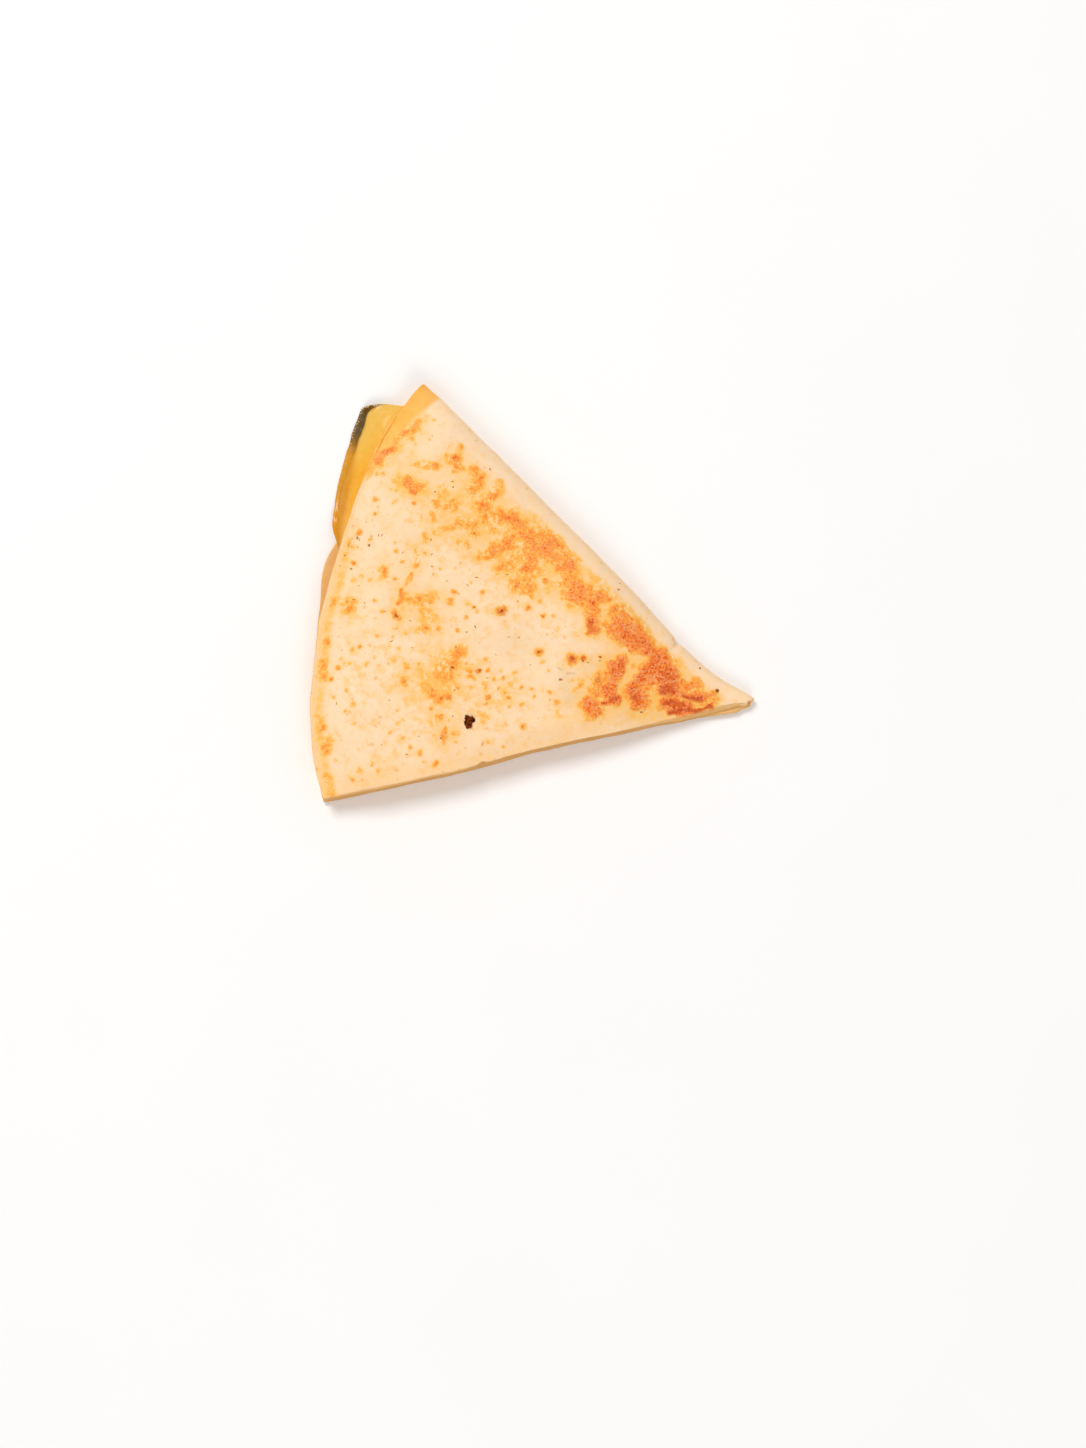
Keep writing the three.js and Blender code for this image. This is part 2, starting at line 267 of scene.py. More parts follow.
def column_across(u, r, cut=None):
    """Distance across the wedge, from the fold's straight line to column u."""
    out = fold_out(r)
    width = (cut_line(r, u > 0) if cut is None else cut) + out
    half = (TORTILLA + filling_depth(r, 0)) / 2
    tight = FOLD_TIGHTNESS * half**2 / (TORTILLA / 2)
    bend = np.minimum(np.minimum(FOLD_ROUNDING, tight), width / 2)
    turn = np.minimum(np.abs(u) / FOLD_SHARE, 1) * math.pi / 2
    beyond = np.maximum(np.abs(u) - FOLD_SHARE, 0) / (1 - FOLD_SHARE)
    return bend * (1 - np.cos(turn)) + (width - bend) * beyond - out


def column_angle(u):
    """The angle about the tip at which column u meets the rim."""
    return np.maximum(0, np.degrees(np.arcsin(column_across(u, RADIUS) / RADIUS)))


def middle(u, r, cut=None):
    """Points of the sheet's middle, in millimetres from under the tip."""
    u, r = np.broadcast_arrays(u, r)
    across = column_across(u, r, cut)
    along = np.sqrt(np.maximum(0, r * r - across * across))
    angle = np.maximum(0, np.degrees(np.arctan2(across, along)))
    lift = np.sin(np.minimum(np.abs(u) / FOLD_SHARE, 1) * math.pi / 2)
    half = (TORTILLA + filling_depth(r, angle)) / 2
    z = TORTILLA / 2 + half * (1 + np.sign(u) * lift)
    return along[..., None] * ALONG + across[..., None] * ACROSS + z[..., None] * [0, 0, 1]


def grid_normals(points):
    """Unit normals of a grid of points: (down the rows) x (across the columns)."""
    normal = np.cross(np.gradient(points, axis=0), np.gradient(points, axis=1))
    return normal / np.linalg.norm(normal, axis=-1, keepdims=True)


print("height of the fold's outermost line:", round(float(middle(0.0, 60.0)[2]), 2), "mm")

# %% [markdown]
# ## From grids to meshes
#
# A thick sheet is two skins, an outer and an inner one, joined round their border by a rounded
# edge. The inner skin is hardly seen, so it keeps only some of the rows and columns, and a band of
# triangles zips it to the finer edge.


# %% Mesh building
def strip(one, two):
    """Quads between two lines of vertices; they face along (one to two) x (first to next)."""
    one, two = np.asarray(one), np.asarray(two)
    return np.stack([one[:-1], two[:-1], two[1:], one[1:]], axis=1).tolist()


def grid_faces(index):
    return [face for i in range(len(index) - 1) for face in strip(index[i], index[i + 1])]


def border(index):
    """The vertices round a grid: its first row, last column, last row and first column."""
    return np.concatenate([index[0, :-1], index[:-1, -1], index[-1, :0:-1], index[:0:-1, 0]])


def sides(loop, shape):
    """Splits a grid's border into its four sides, each with both of its corners."""
    closed = np.append(loop, loop[0])
    long, wide = shape[0] - 1, shape[1] - 1
    ends = np.cumsum([0, wide, long, wide, long])
    return [closed[a : b + 1] for a, b in zip(ends[:-1], ends[1:])]


def ring_band(one, two):
    return strip(np.append(one, one[0]), np.append(two, two[0]))


def zipper(fine, coarse):
    """Triangles between two lines of vertices that start and end side by side."""
    faces, i, j = [], 0, 0
    fine_steps, coarse_steps = len(fine) - 1, len(coarse) - 1
    while i < fine_steps or j < coarse_steps:
        fine_is_behind = (i + 0.5) / fine_steps <= (j + 0.5) / coarse_steps
        if j == coarse_steps or (i < fine_steps and fine_is_behind):
            faces.append((int(coarse[j]), int(fine[i]), int(fine[i + 1])))
            i += 1
        else:
            faces.append((int(coarse[j]), int(fine[i]), int(coarse[j + 1])))
            j += 1
    return faces


def make_object(name, points_mm, faces):
    """A mesh object from points in millimetres round the tip. It sits at the frame's origin."""
    place = np.asarray(points_mm, float) + [TIP_AT[0], TIP_AT[1], 0]
    mesh = bpy.data.meshes.new(name)
    mesh.from_pydata((place * MM).tolist(), [], faces)
    mesh.shade_smooth()
    made = bpy.data.objects.new(name, mesh)
    bpy.context.scene.collection.objects.link(made)
    triangles = sum(len(face) - 2 for face in faces)
    print(f"{name}: {len(points_mm)} points, {triangles} triangles")
    return made


def store(made, name, values):
    """Keeps one number for each point, for the materials and the relief to read."""
    layer = made.data.attributes.new(name, "FLOAT", "POINT")
    layer.data.foreach_set("value", np.asarray(values, np.float32))


# %% [markdown]
# ## The tortilla's sheet
#
# The upper flap gets the most columns, because it is what one looks at. Its outer skin is the
# middle surface moved out by half the thickness. The lower flap lies flat on the table. Round the
# border, a few extra rings give the edge a soft round. The rim bulges more than the cut, which a
# knife has left nearly square. At the tip the edge turns smoothly from the sheet's end to its cut.

# %% Build the sheet's two skins
UPPER_COLUMNS, FOLD_COLUMNS, LOWER_COLUMNS = 216, 12, 64
ROWS = 260

fold_u = FOLD_SHARE * np.arange(1, FOLD_COLUMNS + 1) / FOLD_COLUMNS
upper_u = FOLD_SHARE + (1 - FOLD_SHARE) * np.arange(1, UPPER_COLUMNS + 1) / UPPER_COLUMNS
lower_u = FOLD_SHARE + (1 - FOLD_SHARE) * np.arange(1, LOWER_COLUMNS + 1) / LOWER_COLUMNS
sheet_u = np.concatenate([-lower_u[::-1], -fold_u[::-1], [0], fold_u, upper_u])


def rim_radius(u):
    angle = column_angle(u)
    return np.where(u > 0, upper_rim(angle), lower_rim(angle))


def row_radius(u, share, rim):
    start = mix(TIP_RADIUS["at_fold"], TIP_RADIUS["lower_flap"], smooth(0, -0.6, u))
    start = mix(start, TIP_RADIUS["at_lower_cut"], smooth(-0.7, -1.0, u) ** 2)
    start = mix(start, TIP_RADIUS["at_upper_cut"], smooth(0, 1, u))
    return mix(start, rim, share)


sheet_rim = rim_radius(sheet_u)
sheet_r = row_radius(sheet_u, (np.arange(ROWS + 1) / ROWS)[:, None], sheet_rim)
sheet_middle = middle(sheet_u, sheet_r)
sheet_normal = grid_normals(sheet_middle)
half_thick = thickness(sheet_r, sheet_rim)[..., None] / 2
outer_skin = sheet_middle + sheet_normal * half_thick
inner_skin = sheet_middle - sheet_normal * half_thick
outer_skin[:, sheet_u <= -FOLD_SHARE, 2] = 0
rows, columns = sheet_r.shape
print("sheet grid:", rows, "rows of", columns, "columns")

# %% Join the skins round their border
EDGE_RINGS = 5
EDGE_BULGE = dict(rim=0.5, tip=0.4, cut=0.12)
INNER_STEP = 4
FINE_ROWS_AT_RIM = 24

outer_index = np.arange(rows * columns).reshape(rows, columns)
ring = border(outer_index)
outward = np.zeros((rows, columns, 3))
outward[:, -1] = outer_skin[:, -1] - outer_skin[:, -2]
outward[:, 0] = outer_skin[:, 0] - outer_skin[:, 1]
outward[-1] = outer_skin[-1] - outer_skin[-2]
near_cut = smooth(0.4, 1.0, sheet_u)
off_the_tip, off_the_cut = outer_skin[0] - outer_skin[1], outer_skin[0, -1] - outer_skin[0, -2]
off_the_tip = off_the_tip / np.linalg.norm(off_the_tip, axis=1, keepdims=True)
outward[0] = mix(off_the_tip, off_the_cut / np.linalg.norm(off_the_cut), near_cut[:, None])
outward[..., 2] = 0
outward = outward.reshape(-1, 3)[ring]
outward = outward / np.linalg.norm(outward, axis=1, keepdims=True)
ring_row, ring_column = ring // columns, ring % columns
ring_on_rim, ring_on_tip = ring_row == rows - 1, ring_row == 0
bulge = np.where(ring_on_tip, EDGE_BULGE["tip"], EDGE_BULGE["cut"])
bulge = np.where(ring_on_rim, EDGE_BULGE["rim"], bulge)[:, None]
ring_r = sheet_r[ring_row, ring_column]
leaning = np.where(ring_on_tip, near_cut[ring_column], ring_column == columns - 1)
slant = cut_slant(ring_r) * leaning * ~ring_on_rim

outer_ring, inner_ring = outer_skin.reshape(-1, 3)[ring], inner_skin.reshape(-1, 3)[ring]
inner_ring = inner_ring + outward * slant[:, None]
sheet_points = [outer_skin.reshape(-1, 3)]
sheet_faces = grid_faces(outer_index)
last_ring, used = ring, rows * columns
for k in range(1, EDGE_RINGS + 1):
    share = k / EDGE_RINGS
    swell_out = bulge * math.sqrt(max(0, 1 - (2 * share - 1) ** 2))
    sheet_points.append(mix(outer_ring, inner_ring, share) + outward * swell_out)
    this_ring = used + np.arange(len(ring))
    sheet_faces += ring_band(this_ring, last_ring)
    last_ring, used = this_ring, used + len(ring)

coarse_rows = np.arange(INNER_STEP, rows - FINE_ROWS_AT_RIM, INNER_STEP)
keep_rows = np.append(coarse_rows, np.arange(rows - FINE_ROWS_AT_RIM, rows - 1, 2))
keep_columns = np.arange(INNER_STEP, columns - 1, INNER_STEP)
inner_points = inner_skin[np.ix_(keep_rows, keep_columns)]
inner_index = used + np.arange(len(keep_rows) * len(keep_columns))
inner_index = inner_index.reshape(len(keep_rows), len(keep_columns))
sheet_points.append(inner_points.reshape(-1, 3))
sheet_faces += grid_faces(inner_index[:, ::-1])
fine_sides = sides(last_ring, outer_index.shape)
for fine, coarse in zip(fine_sides, sides(border(inner_index), inner_index.shape)):
    sheet_faces += zipper(fine, coarse)

sheet_points = np.concatenate(sheet_points)
tortilla = make_object("toasted_tortilla_wedge", sheet_points, sheet_faces)

# %% [markdown]
# ## Where the pan has toasted it
#
# A tortilla browns where it puffs up and touches the pan. Such marks could be scattered at random,
# but the upper side is what one looks at, so its marks are set down one by one, as they were read
# in a view from straight above. The broad ones are strokes from one place to another, with a
# half width and a strength, and then come the small round ones. The readings are in that view's
# pixels, x to the right and y down. The script turns them into millimetres back from the tip and
# over from it, on a plate that is turned by 16.5 degrees to the wedge.
#
# A stroke fades at its edge, and its outline is warped by noise, so no two marks look alike.

# %% From readings to millimetres
PLATE_TURN = math.radians(16.5)
TIP_PIXEL = (752, 712)
PIXELS_PER_MM = 3.565


def in_mm(pixels, digits=1):
    """Pixels in millimetres, to a tenth, as a mark is read no finer. A speck takes two digits."""
    return round(pixels / PIXELS_PER_MM, digits)


def plate_place(x, y):
    """How far back from the tip, and over from it, a reading lies."""
    return in_mm(TIP_PIXEL[0] - x), in_mm(TIP_PIXEL[1] - y)


def strokes_in_mm(readings, wider=1.0, stronger=0.0):
    """Rows of back, over, back, over, half width and strength."""
    return [
        (*plate_place(x1, y1), *plate_place(x2, y2), in_mm(half_width * wider), strength + stronger)
        for x1, y1, x2, y2, half_width, strength in readings
    ]


print("a mark 100 pixels back lies", plate_place(TIP_PIXEL[0] - 100, TIP_PIXEL[1])[0], "mm from the tip")

# %% Broad marks
# Some strokes along the fold looked too thin when they were tried, and some of them too faint.
THIN_BY, FAINT_BY = 1.08, 0.06

# x and y at one end, x and y at the other end, half width, strength
THIN_AND_FAINT_STROKES = (
    (592, 622, 595, 630, 5, 0.5), (618, 618, 636, 640, 11, 0.62), (640, 641, 661, 659, 8, 0.62),
    (642, 646, 656, 656, 4.5, 0.5), (600, 594, 606, 597, 3.5, 0.5), (560, 562, 572, 566, 6, 0.4),
)  # fmt: skip
THIN_STROKES = (
    (570, 572, 575, 598, 10, 0.52), (578, 590, 597, 600, 8, 0.56), (566, 597, 577, 599, 5, 0.45),
    (592, 606, 594, 630, 7.5, 0.6), (505, 521, 516, 511, 4.5, 0.36), (533, 545, 553, 550, 10, 0.38),
    (548, 547, 551, 557, 5.5, 0.4),
)  # fmt: skip
FOLD_STROKES = (
    (614, 628, 634, 644, 8, 0.6), (512, 519, 529, 535, 6.5, 0.46), (528, 560, 530, 575, 7, 0.36),
    (514, 585, 530, 588, 6.4, 0.42), (550, 590, 558, 585, 5, 0.3), (560, 520, 520, 560, 24, 0.22),
    (575, 560, 555, 540, 10, 0.24), (600, 575, 640, 625, 14, 0.2), (645, 674, 661, 667, 6, 0.6),
    (700, 700, 717, 700, 7, 0.28), (640, 689, 652, 680, 5, 0.55), (652, 672, 655, 676, 13, 0.3),
)  # fmt: skip
TIP_STROKES = (
    (622, 657, 616, 672, 5.5, 0.8), (613, 664, 614, 671, 4.5, 0.7), (618, 669, 609, 690, 7.5, 0.82),
    (610, 690, 613, 699, 7, 0.85), (603, 703, 618, 700, 3.6, 0.9), (589, 706, 594, 712, 8.5, 0.82),
    (596, 688, 592, 700, 5, 0.55), (582, 680, 581, 684, 4, 0.35), (597, 678, 597, 680, 4.6, 0.5),
    (650, 666, 641, 680, 6, 0.8), (641, 680, 632, 690, 5.5, 0.72), (631, 692, 640, 700, 7.5, 0.88),
    (636, 703, 642, 706, 4, 0.45), (658, 663, 668, 672, 9, 0.82), (664, 672, 672, 684, 10, 0.9),
    (664, 690, 672, 692, 6.5, 0.95), (650, 663, 640, 668, 5, 0.6), (633, 662, 632, 664, 3, 0.4),
    (682, 694, 703, 695, 4, 0.9), (703, 694, 716, 692, 3, 0.5), (664, 702, 690, 705, 5, 0.9),
    (672, 710, 690, 710, 5.5, 0.92), (680, 714, 712, 708, 2.8, 0.85),
    (688, 686, 700, 681, 4.6, 0.6), (660, 703, 663, 707, 5, 0.45), (672, 664, 640, 700, 20, 0.22),
    (600, 690, 612, 668, 12, 0.2), (690, 690, 712, 700, 9, 0.3),
)  # fmt: skip
RIM_STROKES = (
    (378, 459, 389, 450, 4.6, 0.62), (385, 453, 388, 451, 3.4, 0.6),
    (393, 444, 403, 432, 4.2, 0.22), (403, 433, 416, 424, 4.2, 0.42),
    (380, 462, 424, 418, 6.5, 0.18), (399, 480, 422, 489, 9, 0.22), (408, 477, 411, 484, 3, 0.5),
    (411, 484, 416, 491, 3.6, 0.5), (416, 491, 421, 487, 3, 0.4), (418, 465, 436, 467, 4.5, 0.38),
    (450, 460, 456, 456, 6, 0.3), (453, 463, 460, 470, 4, 0.5), (473, 471, 478, 486, 6.5, 0.45),
    (469, 489, 472, 493, 3.5, 0.4), (487, 502, 500, 489, 6, 0.25), (480, 508, 500, 515, 7, 0.3),
    (483, 519, 490, 524, 4, 0.3), (441, 490, 442, 495, 5, 0.25), (436, 502, 438, 504, 4, 0.42),
    (449, 505, 453, 505, 5, 0.38), (432, 516, 435, 519, 4.5, 0.4), (458, 523, 472, 525, 6, 0.42),
    (438, 531, 454, 527, 4, 0.28), (472, 533, 477, 534, 4, 0.32), (461, 543, 468, 545, 4.4, 0.42),
    (494, 548, 510, 543, 5, 0.45), (479, 557, 492, 552, 5, 0.4), (499, 570, 508, 565, 4.6, 0.35),
    (496, 530, 502, 534, 5, 0.2), (425, 535, 427, 540, 4, 0.3), (470, 500, 540, 560, 26, 0.14),
)  # fmt: skip
MIDDLE_STROKES = (
    (418, 549, 416, 565, 2.4, 0.4), (412, 576, 404, 594, 2.2, 0.48), (404, 594, 400, 608, 2, 0.5),
    (397, 616, 398, 618, 4.2, 0.7), (384, 569, 382, 575, 5, 0.28), (423, 600, 433, 598, 6, 0.3),
    (409, 602, 415, 602, 4.4, 0.38), (424, 613, 434, 616, 5.5, 0.24),
    (425, 627, 428, 630, 5.5, 0.2), (449, 601, 452, 602, 4, 0.32), (349, 604, 350, 609, 7.2, 0.4),
    (460, 650, 456, 654, 6.5, 0.3), (451, 664, 446, 676, 7, 0.28), (440, 664, 437, 674, 5.5, 0.22),
    (430, 692, 424, 688, 5, 0.38), (438, 698, 448, 697, 5, 0.36), (468, 673, 470, 676, 5, 0.45),
    (405, 680, 406, 684, 3.6, 0.4), (408, 666, 409, 670, 3, 0.3), (422, 672, 425, 676, 4.6, 0.28),
    (440, 690, 450, 660, 17, 0.2), (420, 605, 428, 625, 13, 0.14), (327, 741, 326, 748, 5, 0.35),
    (380, 766, 386, 770, 9, 0.1),
)  # fmt: skip
CUT_STROKES = (
    (447, 727, 441, 734, 2.8, 0.6), (441, 734, 442, 740, 2.8, 0.55), (452, 733, 457, 736, 3, 0.3),
    (484, 716, 487, 720, 5, 0.22), (557, 703, 560, 716, 6, 0.18), (575, 720, 566, 732, 8, 0.1),
    (510, 690, 500, 700, 8, 0.14), (432, 722, 440, 716, 5, 0.2),
)  # fmt: skip
BROAD_MARKS = (
    strokes_in_mm(THIN_AND_FAINT_STROKES, THIN_BY, FAINT_BY)
    + strokes_in_mm(THIN_STROKES, THIN_BY)
    + strokes_in_mm(FOLD_STROKES + TIP_STROKES + RIM_STROKES + MIDDLE_STROKES + CUT_STROKES)
)
print("broad marks:", len(BROAD_MARKS))

# %% Small marks
# x, y, radius, strength
SMALL_READINGS = (
    (572, 659, 7, 0.72), (583, 659, 4.6, 0.6), (600, 657, 2, 0.5), (539, 652, 5.4, 0.5),
    (614, 608.5, 3.6, 0.6), (608, 572, 2, 0.5), (582, 553, 2.2, 0.45), (543, 617, 3.4, 0.5),
    (553, 617, 3, 0.4), (546, 582, 3.6, 0.5), (557, 703, 3, 0.5), (533, 548, 3, 0.55),
    (501, 482, 3, 0.4), (494, 498, 3.4, 0.35), (467, 524, 3, 0.6), (502, 611, 6.8, 0.62),
    (529, 609, 4, 0.55), (532, 597, 3.6, 0.4), (474, 608, 2.6, 0.4), (467, 617, 2.6, 0.6),
    (483, 592, 3.4, 0.3), (450, 602, 4, 0.25), (453, 458, 2.4, 0.6), (436, 467, 2.4, 0.4),
    (530, 586, 3, 0.5), (516, 586, 3, 0.5), (480, 479, 3, 0.4), (475, 484, 3, 0.4),
    (326, 640, 4, 0.5), (337, 668, 4, 0.5), (330, 679, 3, 0.5), (345, 664, 2.4, 0.4),
    (347, 691, 2.6, 0.45), (353, 705, 4, 0.35), (322, 728, 4, 0.45), (352, 780, 3.2, 0.6),
    (360, 771, 4, 0.38), (372, 763, 2.4, 0.5), (403, 739, 3, 0.4), (420, 753, 3.6, 0.5),
    (411, 748, 3, 0.4), (437, 762, 3.6, 0.5), (424, 762, 3, 0.38), (459, 650, 3, 0.4),
    (453, 667, 2.4, 0.65), (441, 698, 3, 0.7), (431, 696, 3.4, 0.5), (449, 698, 3.4, 0.4),
    (405, 682, 2.6, 0.4), (426, 628, 3, 0.3), (439, 629, 4, 0.3), (457, 629, 3, 0.5),
    (396, 630, 2.6, 0.5), (370, 579, 3, 0.4), (353, 563, 2.6, 0.6), (397, 579, 2.6, 0.35),
    (475, 608, 2.4, 0.5), (484, 685, 4, 0.45), (488, 697, 3.5, 0.6), (486, 704, 3, 0.4),
    (470, 688, 3, 0.42), (458, 688, 3, 0.4), (479, 670, 3.2, 0.6), (431, 708, 2.6, 0.55),
    (441, 716, 3.4, 0.3), (445, 729, 2.2, 0.5), (456, 683, 3, 0.35), (466, 662, 3, 0.3),
    (400, 648, 3, 0.25), (375, 600, 3, 0.25), (383, 611, 3.4, 0.3), (360, 647, 2.6, 0.4),
    (367, 664, 2.6, 0.4), (423, 650, 4, 0.3), (419, 663, 3, 0.3), (498, 689, 2.6, 0.5),
    (506, 693, 2.4, 0.4), (493, 680, 3, 0.4), (503, 679, 2.6, 0.5), (512, 684, 3, 0.4),
    (521, 688, 3, 0.55), (531, 689, 2.6, 0.4), (508, 698, 2.2, 0.5), (508, 707, 2.2, 0.45),
    (522, 704, 3, 0.35), (517, 672, 3.4, 0.25), (501, 671, 2.4, 0.4), (488, 671, 3, 0.5),
    (523, 727, 5.4, 0.42), (549, 692, 3.4, 0.4), (534, 697, 3, 0.25), (455, 594, 2.4, 0.4),
    (440, 570, 2.6, 0.3), (425, 553, 2.4, 0.3), (357, 532, 3.4, 0.5), (370, 539, 2.6, 0.45),
    (376, 514, 2.6, 0.45), (376, 472, 3, 0.35), (376, 498, 3.4, 0.5), (382, 473, 3, 0.5),
    (394, 502, 3, 0.3), (396, 551, 3.2, 0.45), (403, 562, 2.6, 0.5), (415, 505, 3.2, 0.5),
    (354, 562, 3, 0.5), (386, 570, 4, 0.3), (396, 543, 2, 0.3), (334, 697, 2.4, 0.4),
    (345, 711, 2.4, 0.3), (340, 658, 3, 0.3), (413, 683, 2.4, 0.35), (434, 735, 2.4, 0.35),
    (455, 742, 3, 0.3), (434, 466, 3, 0.5), (453, 472, 2.6, 0.5), (460, 447, 4, 0.35),
    (466, 441, 4, 0.3), (390, 488, 3, 0.2), (420, 518, 3, 0.2),
)  # fmt: skip
SMALL_MARKS = [(*plate_place(x, y), in_mm(radius), strength) for x, y, radius, strength in SMALL_READINGS]
print("small marks:", len(SMALL_MARKS))

# %% Dark specks, rings, flecks and scorched streaks
# x, y, radius: specks that have gone nearly black
SPECK_READINGS = (
    (718.5, 690, 2), (642, 712, 1.1), (560, 679, 1), (600, 657, 1.1), (600, 661, 0.7),
    (619, 583, 1), (619, 590, 1.3), (701, 667.5, 1.2), (431, 540, 1), (490, 470, 1),
    (397, 616, 1.3), (357, 537.5, 1.2), (359.5, 539, 0.8), (369, 545.5, 1.2), (348.5, 544.5, 1),
    (344, 555.5, 0.9), (382, 535, 0.8), (351, 569, 1.2), (453, 488, 1), (572, 658, 1.1),
    (583, 661, 0.9), (441, 738, 1.1), (453, 667, 1), (480, 670, 1.1), (408, 482, 0.8),
    (453, 458, 0.9), (502, 611, 1.2), (539, 652, 1),
)  # fmt: skip
DARK_SPECKS = [(*plate_place(x, y), in_mm(radius, 2)) for x, y, radius in SPECK_READINGS]
CHAR_CRUMB = dict(back=79.7, over=-2.8)

# x, y, radius, strength, hollow: brown cores, and blisters that have burst to a brown ring
RING_READINGS = (
    (572, 659, 3.4, 0.65, 0.55), (583, 660, 1.95, 0.6, 0), (597, 679, 2.7, 0.6, 0.6),
    (502, 611, 2.67, 0.75, 0), (614, 608.5, 2.3, 0.75, 0.6), (539, 652, 2.6, 0.75, 0),
    (370, 545, 2.4, 0.55, 0), (397, 617, 2.6, 0.8, 0), (480, 670, 2.2, 0.5, 0),
    (441, 697, 2, 0.5, 0), (453, 667, 1.8, 0.6, 0), (619, 590, 1.8, 0.7, 0),
    (523, 727, 2.4, 0.5, 0), (529, 609, 2.6, 0.3, 0), (352, 526, 2.4, 0.35, 0),
    (424, 534, 2.2, 0.3, 0), (437, 465, 2, 0.3, 0), (478, 671, 3.2, 0.45, 0.5),
    (502, 611, 5.2, 0.3, 0.6),
)  # fmt: skip
RINGED_MARKS = [(*plate_place(x, y), in_mm(radius, 2), *rest) for x, y, radius, *rest in RING_READINGS]

# x, y: flecks of dried herb in the dough
HERB_READINGS = (
    (432, 555), (432, 567), (434, 575), (447, 581), (461, 563), (468, 585), (477, 578), (459, 594),
    (474, 607), (453, 482), (476, 627), (518, 638), (531, 665), (392, 642), (453, 716), (483, 744),
    (561, 680), (549, 700), (372, 535), (351, 538), (357, 546), (378, 535), (366, 521), (404, 553),
    (386, 612), (410, 620), (365, 603), (340, 566), (358, 585), (412, 648), (390, 700), (420, 735),
    (496, 655), (508, 575), (517, 602),
)  # fmt: skip
HERB_FLECKS = [plate_place(x, y) for x, y in HERB_READINGS]

# x and y at one end, x and y at the other end, half width, strength: scorched streaks
SCORCH_READINGS = (
    (684, 696, 701, 697, 3, 0.9), (666, 703, 684, 704, 3.2, 0.85), (672, 713, 711, 708, 2.3, 0.9),
    (663, 690, 672, 691, 4.5, 0.65), (632, 697, 637, 698, 3.6, 0.6), (610, 699, 616, 698, 3, 0.5),
    (602, 704, 605, 703, 1.8, 0.6), (591, 624, 594, 631, 4, 0.45), (645, 645, 650, 650, 3, 0.35),
    (622, 659, 622, 665, 2.2, 0.5), (668, 674, 672, 680, 5, 0.35),
)  # fmt: skip
SCORCHED = strokes_in_mm(SCORCH_READINGS)
print("dark specks:", len(DARK_SPECKS), "herb flecks:", len(HERB_FLECKS))

# %% Wrinkles, smudges and warm areas, in millimetres
# back and over at one end and at the other: fine wrinkles, where the dough has pulled
WRINKLES = (
    (51.6, 10.9, 49.6, 10.9), (54.4, 12.4, 53.4, 11.9), (33.4, 1.0, 31.2, 0.5),
)  # fmt: skip
# back, over, radius, strength: greyer places
SMUDGES = (
    (50.6, 4.0, 3.4, 0.7),
    (44.5, 12.6, 4.0, 0.4),
    (52.0, 9.5, 3.0, 0.4),
    (33.0, 0.0, 4.0, 0.5),
    (27.5, 0.6, 4.5, 0.5),
    (66.0, 20.0, 6.0, 0.25),
)

# back, over, radius, strength: broad areas of a yellower dough
WARM_AREAS = (
    (87.0, 9.0, 10.0, 0.8),
    (98.0, 2.0, 8.0, 0.3),
    (106.0, 14.0, 9.0, 0.2),
    (104.0, -12.0, 9.0, 0.1),
    (70.0, 46.0, 10.0, 0.6),
    (88.0, 52.0, 8.0, 0.4),
    (64.0, 30.0, 8.0, 0.3),
    (27.0, 10.0, 9.0, 0.35),
    (72.0, 3.0, 8.0, 0.35),
)
print("warm areas:", len(WARM_AREAS))

# %% Turn the map into fields over the sheet
WARP = dict(broad=0.7, fine=0.6, broad_size=4.5, fine_size=1.7)
STROKE_FADE = dict(core=0.3, edge=1.6, most=0.97)
STROKE_GLOW = dict(reach=2.8, strength=0.85, power=0.9)
SPOT_FADE = dict(edge=1.35, power=1.2, gain=1.4)
SPOT_GLOW = dict(core=0.5, edge=2.4, strength=0.7)
SPECK_FADE = dict(core=0.4, edge=2.0, strength=0.7)
WRINKLE_WIDTH = 0.34


def from_plate(back, over):
    """The place (x, y) from the tip, for a place on the plate."""
    x = -back * math.cos(PLATE_TURN) - over * math.sin(PLATE_TURN)
    y = -back * math.sin(PLATE_TURN) + over * math.cos(PLATE_TURN)
    return x, y


def stroke_distance(x, y, start, end):
    """Distance of every point from the line between two places."""
    run = np.subtract(end, start)
    reach = float(run @ run)
    along = ((x - start[0]) * run[0] + (y - start[1]) * run[1]) / max(reach, 1e-9)
    along = np.clip(along, 0, 1)
    return np.hypot(x - start[0] - along * run[0], y - start[1] - along * run[1])


def place_distance(x, y, back, over):
    """Distance of every point from a place on the plate."""
    place_x, place_y = from_plate(back, over)
    return np.hypot(x - place_x, y - place_y)


def warped(x, y, share):
    """Places pushed about by noise, so that a round mark gets an uneven outline."""
    push = share * WARP["broad"], share * WARP["fine"]
    dx = push[0] * bumps(x, y, WARP["broad_size"], 61) + push[1] * bumps(x, y, WARP["fine_size"], 62)
    dy = push[0] * bumps(x, y, WARP["broad_size"], 63) + push[1] * bumps(x, y, WARP["fine_size"], 64)
    return x + dx, y + dy


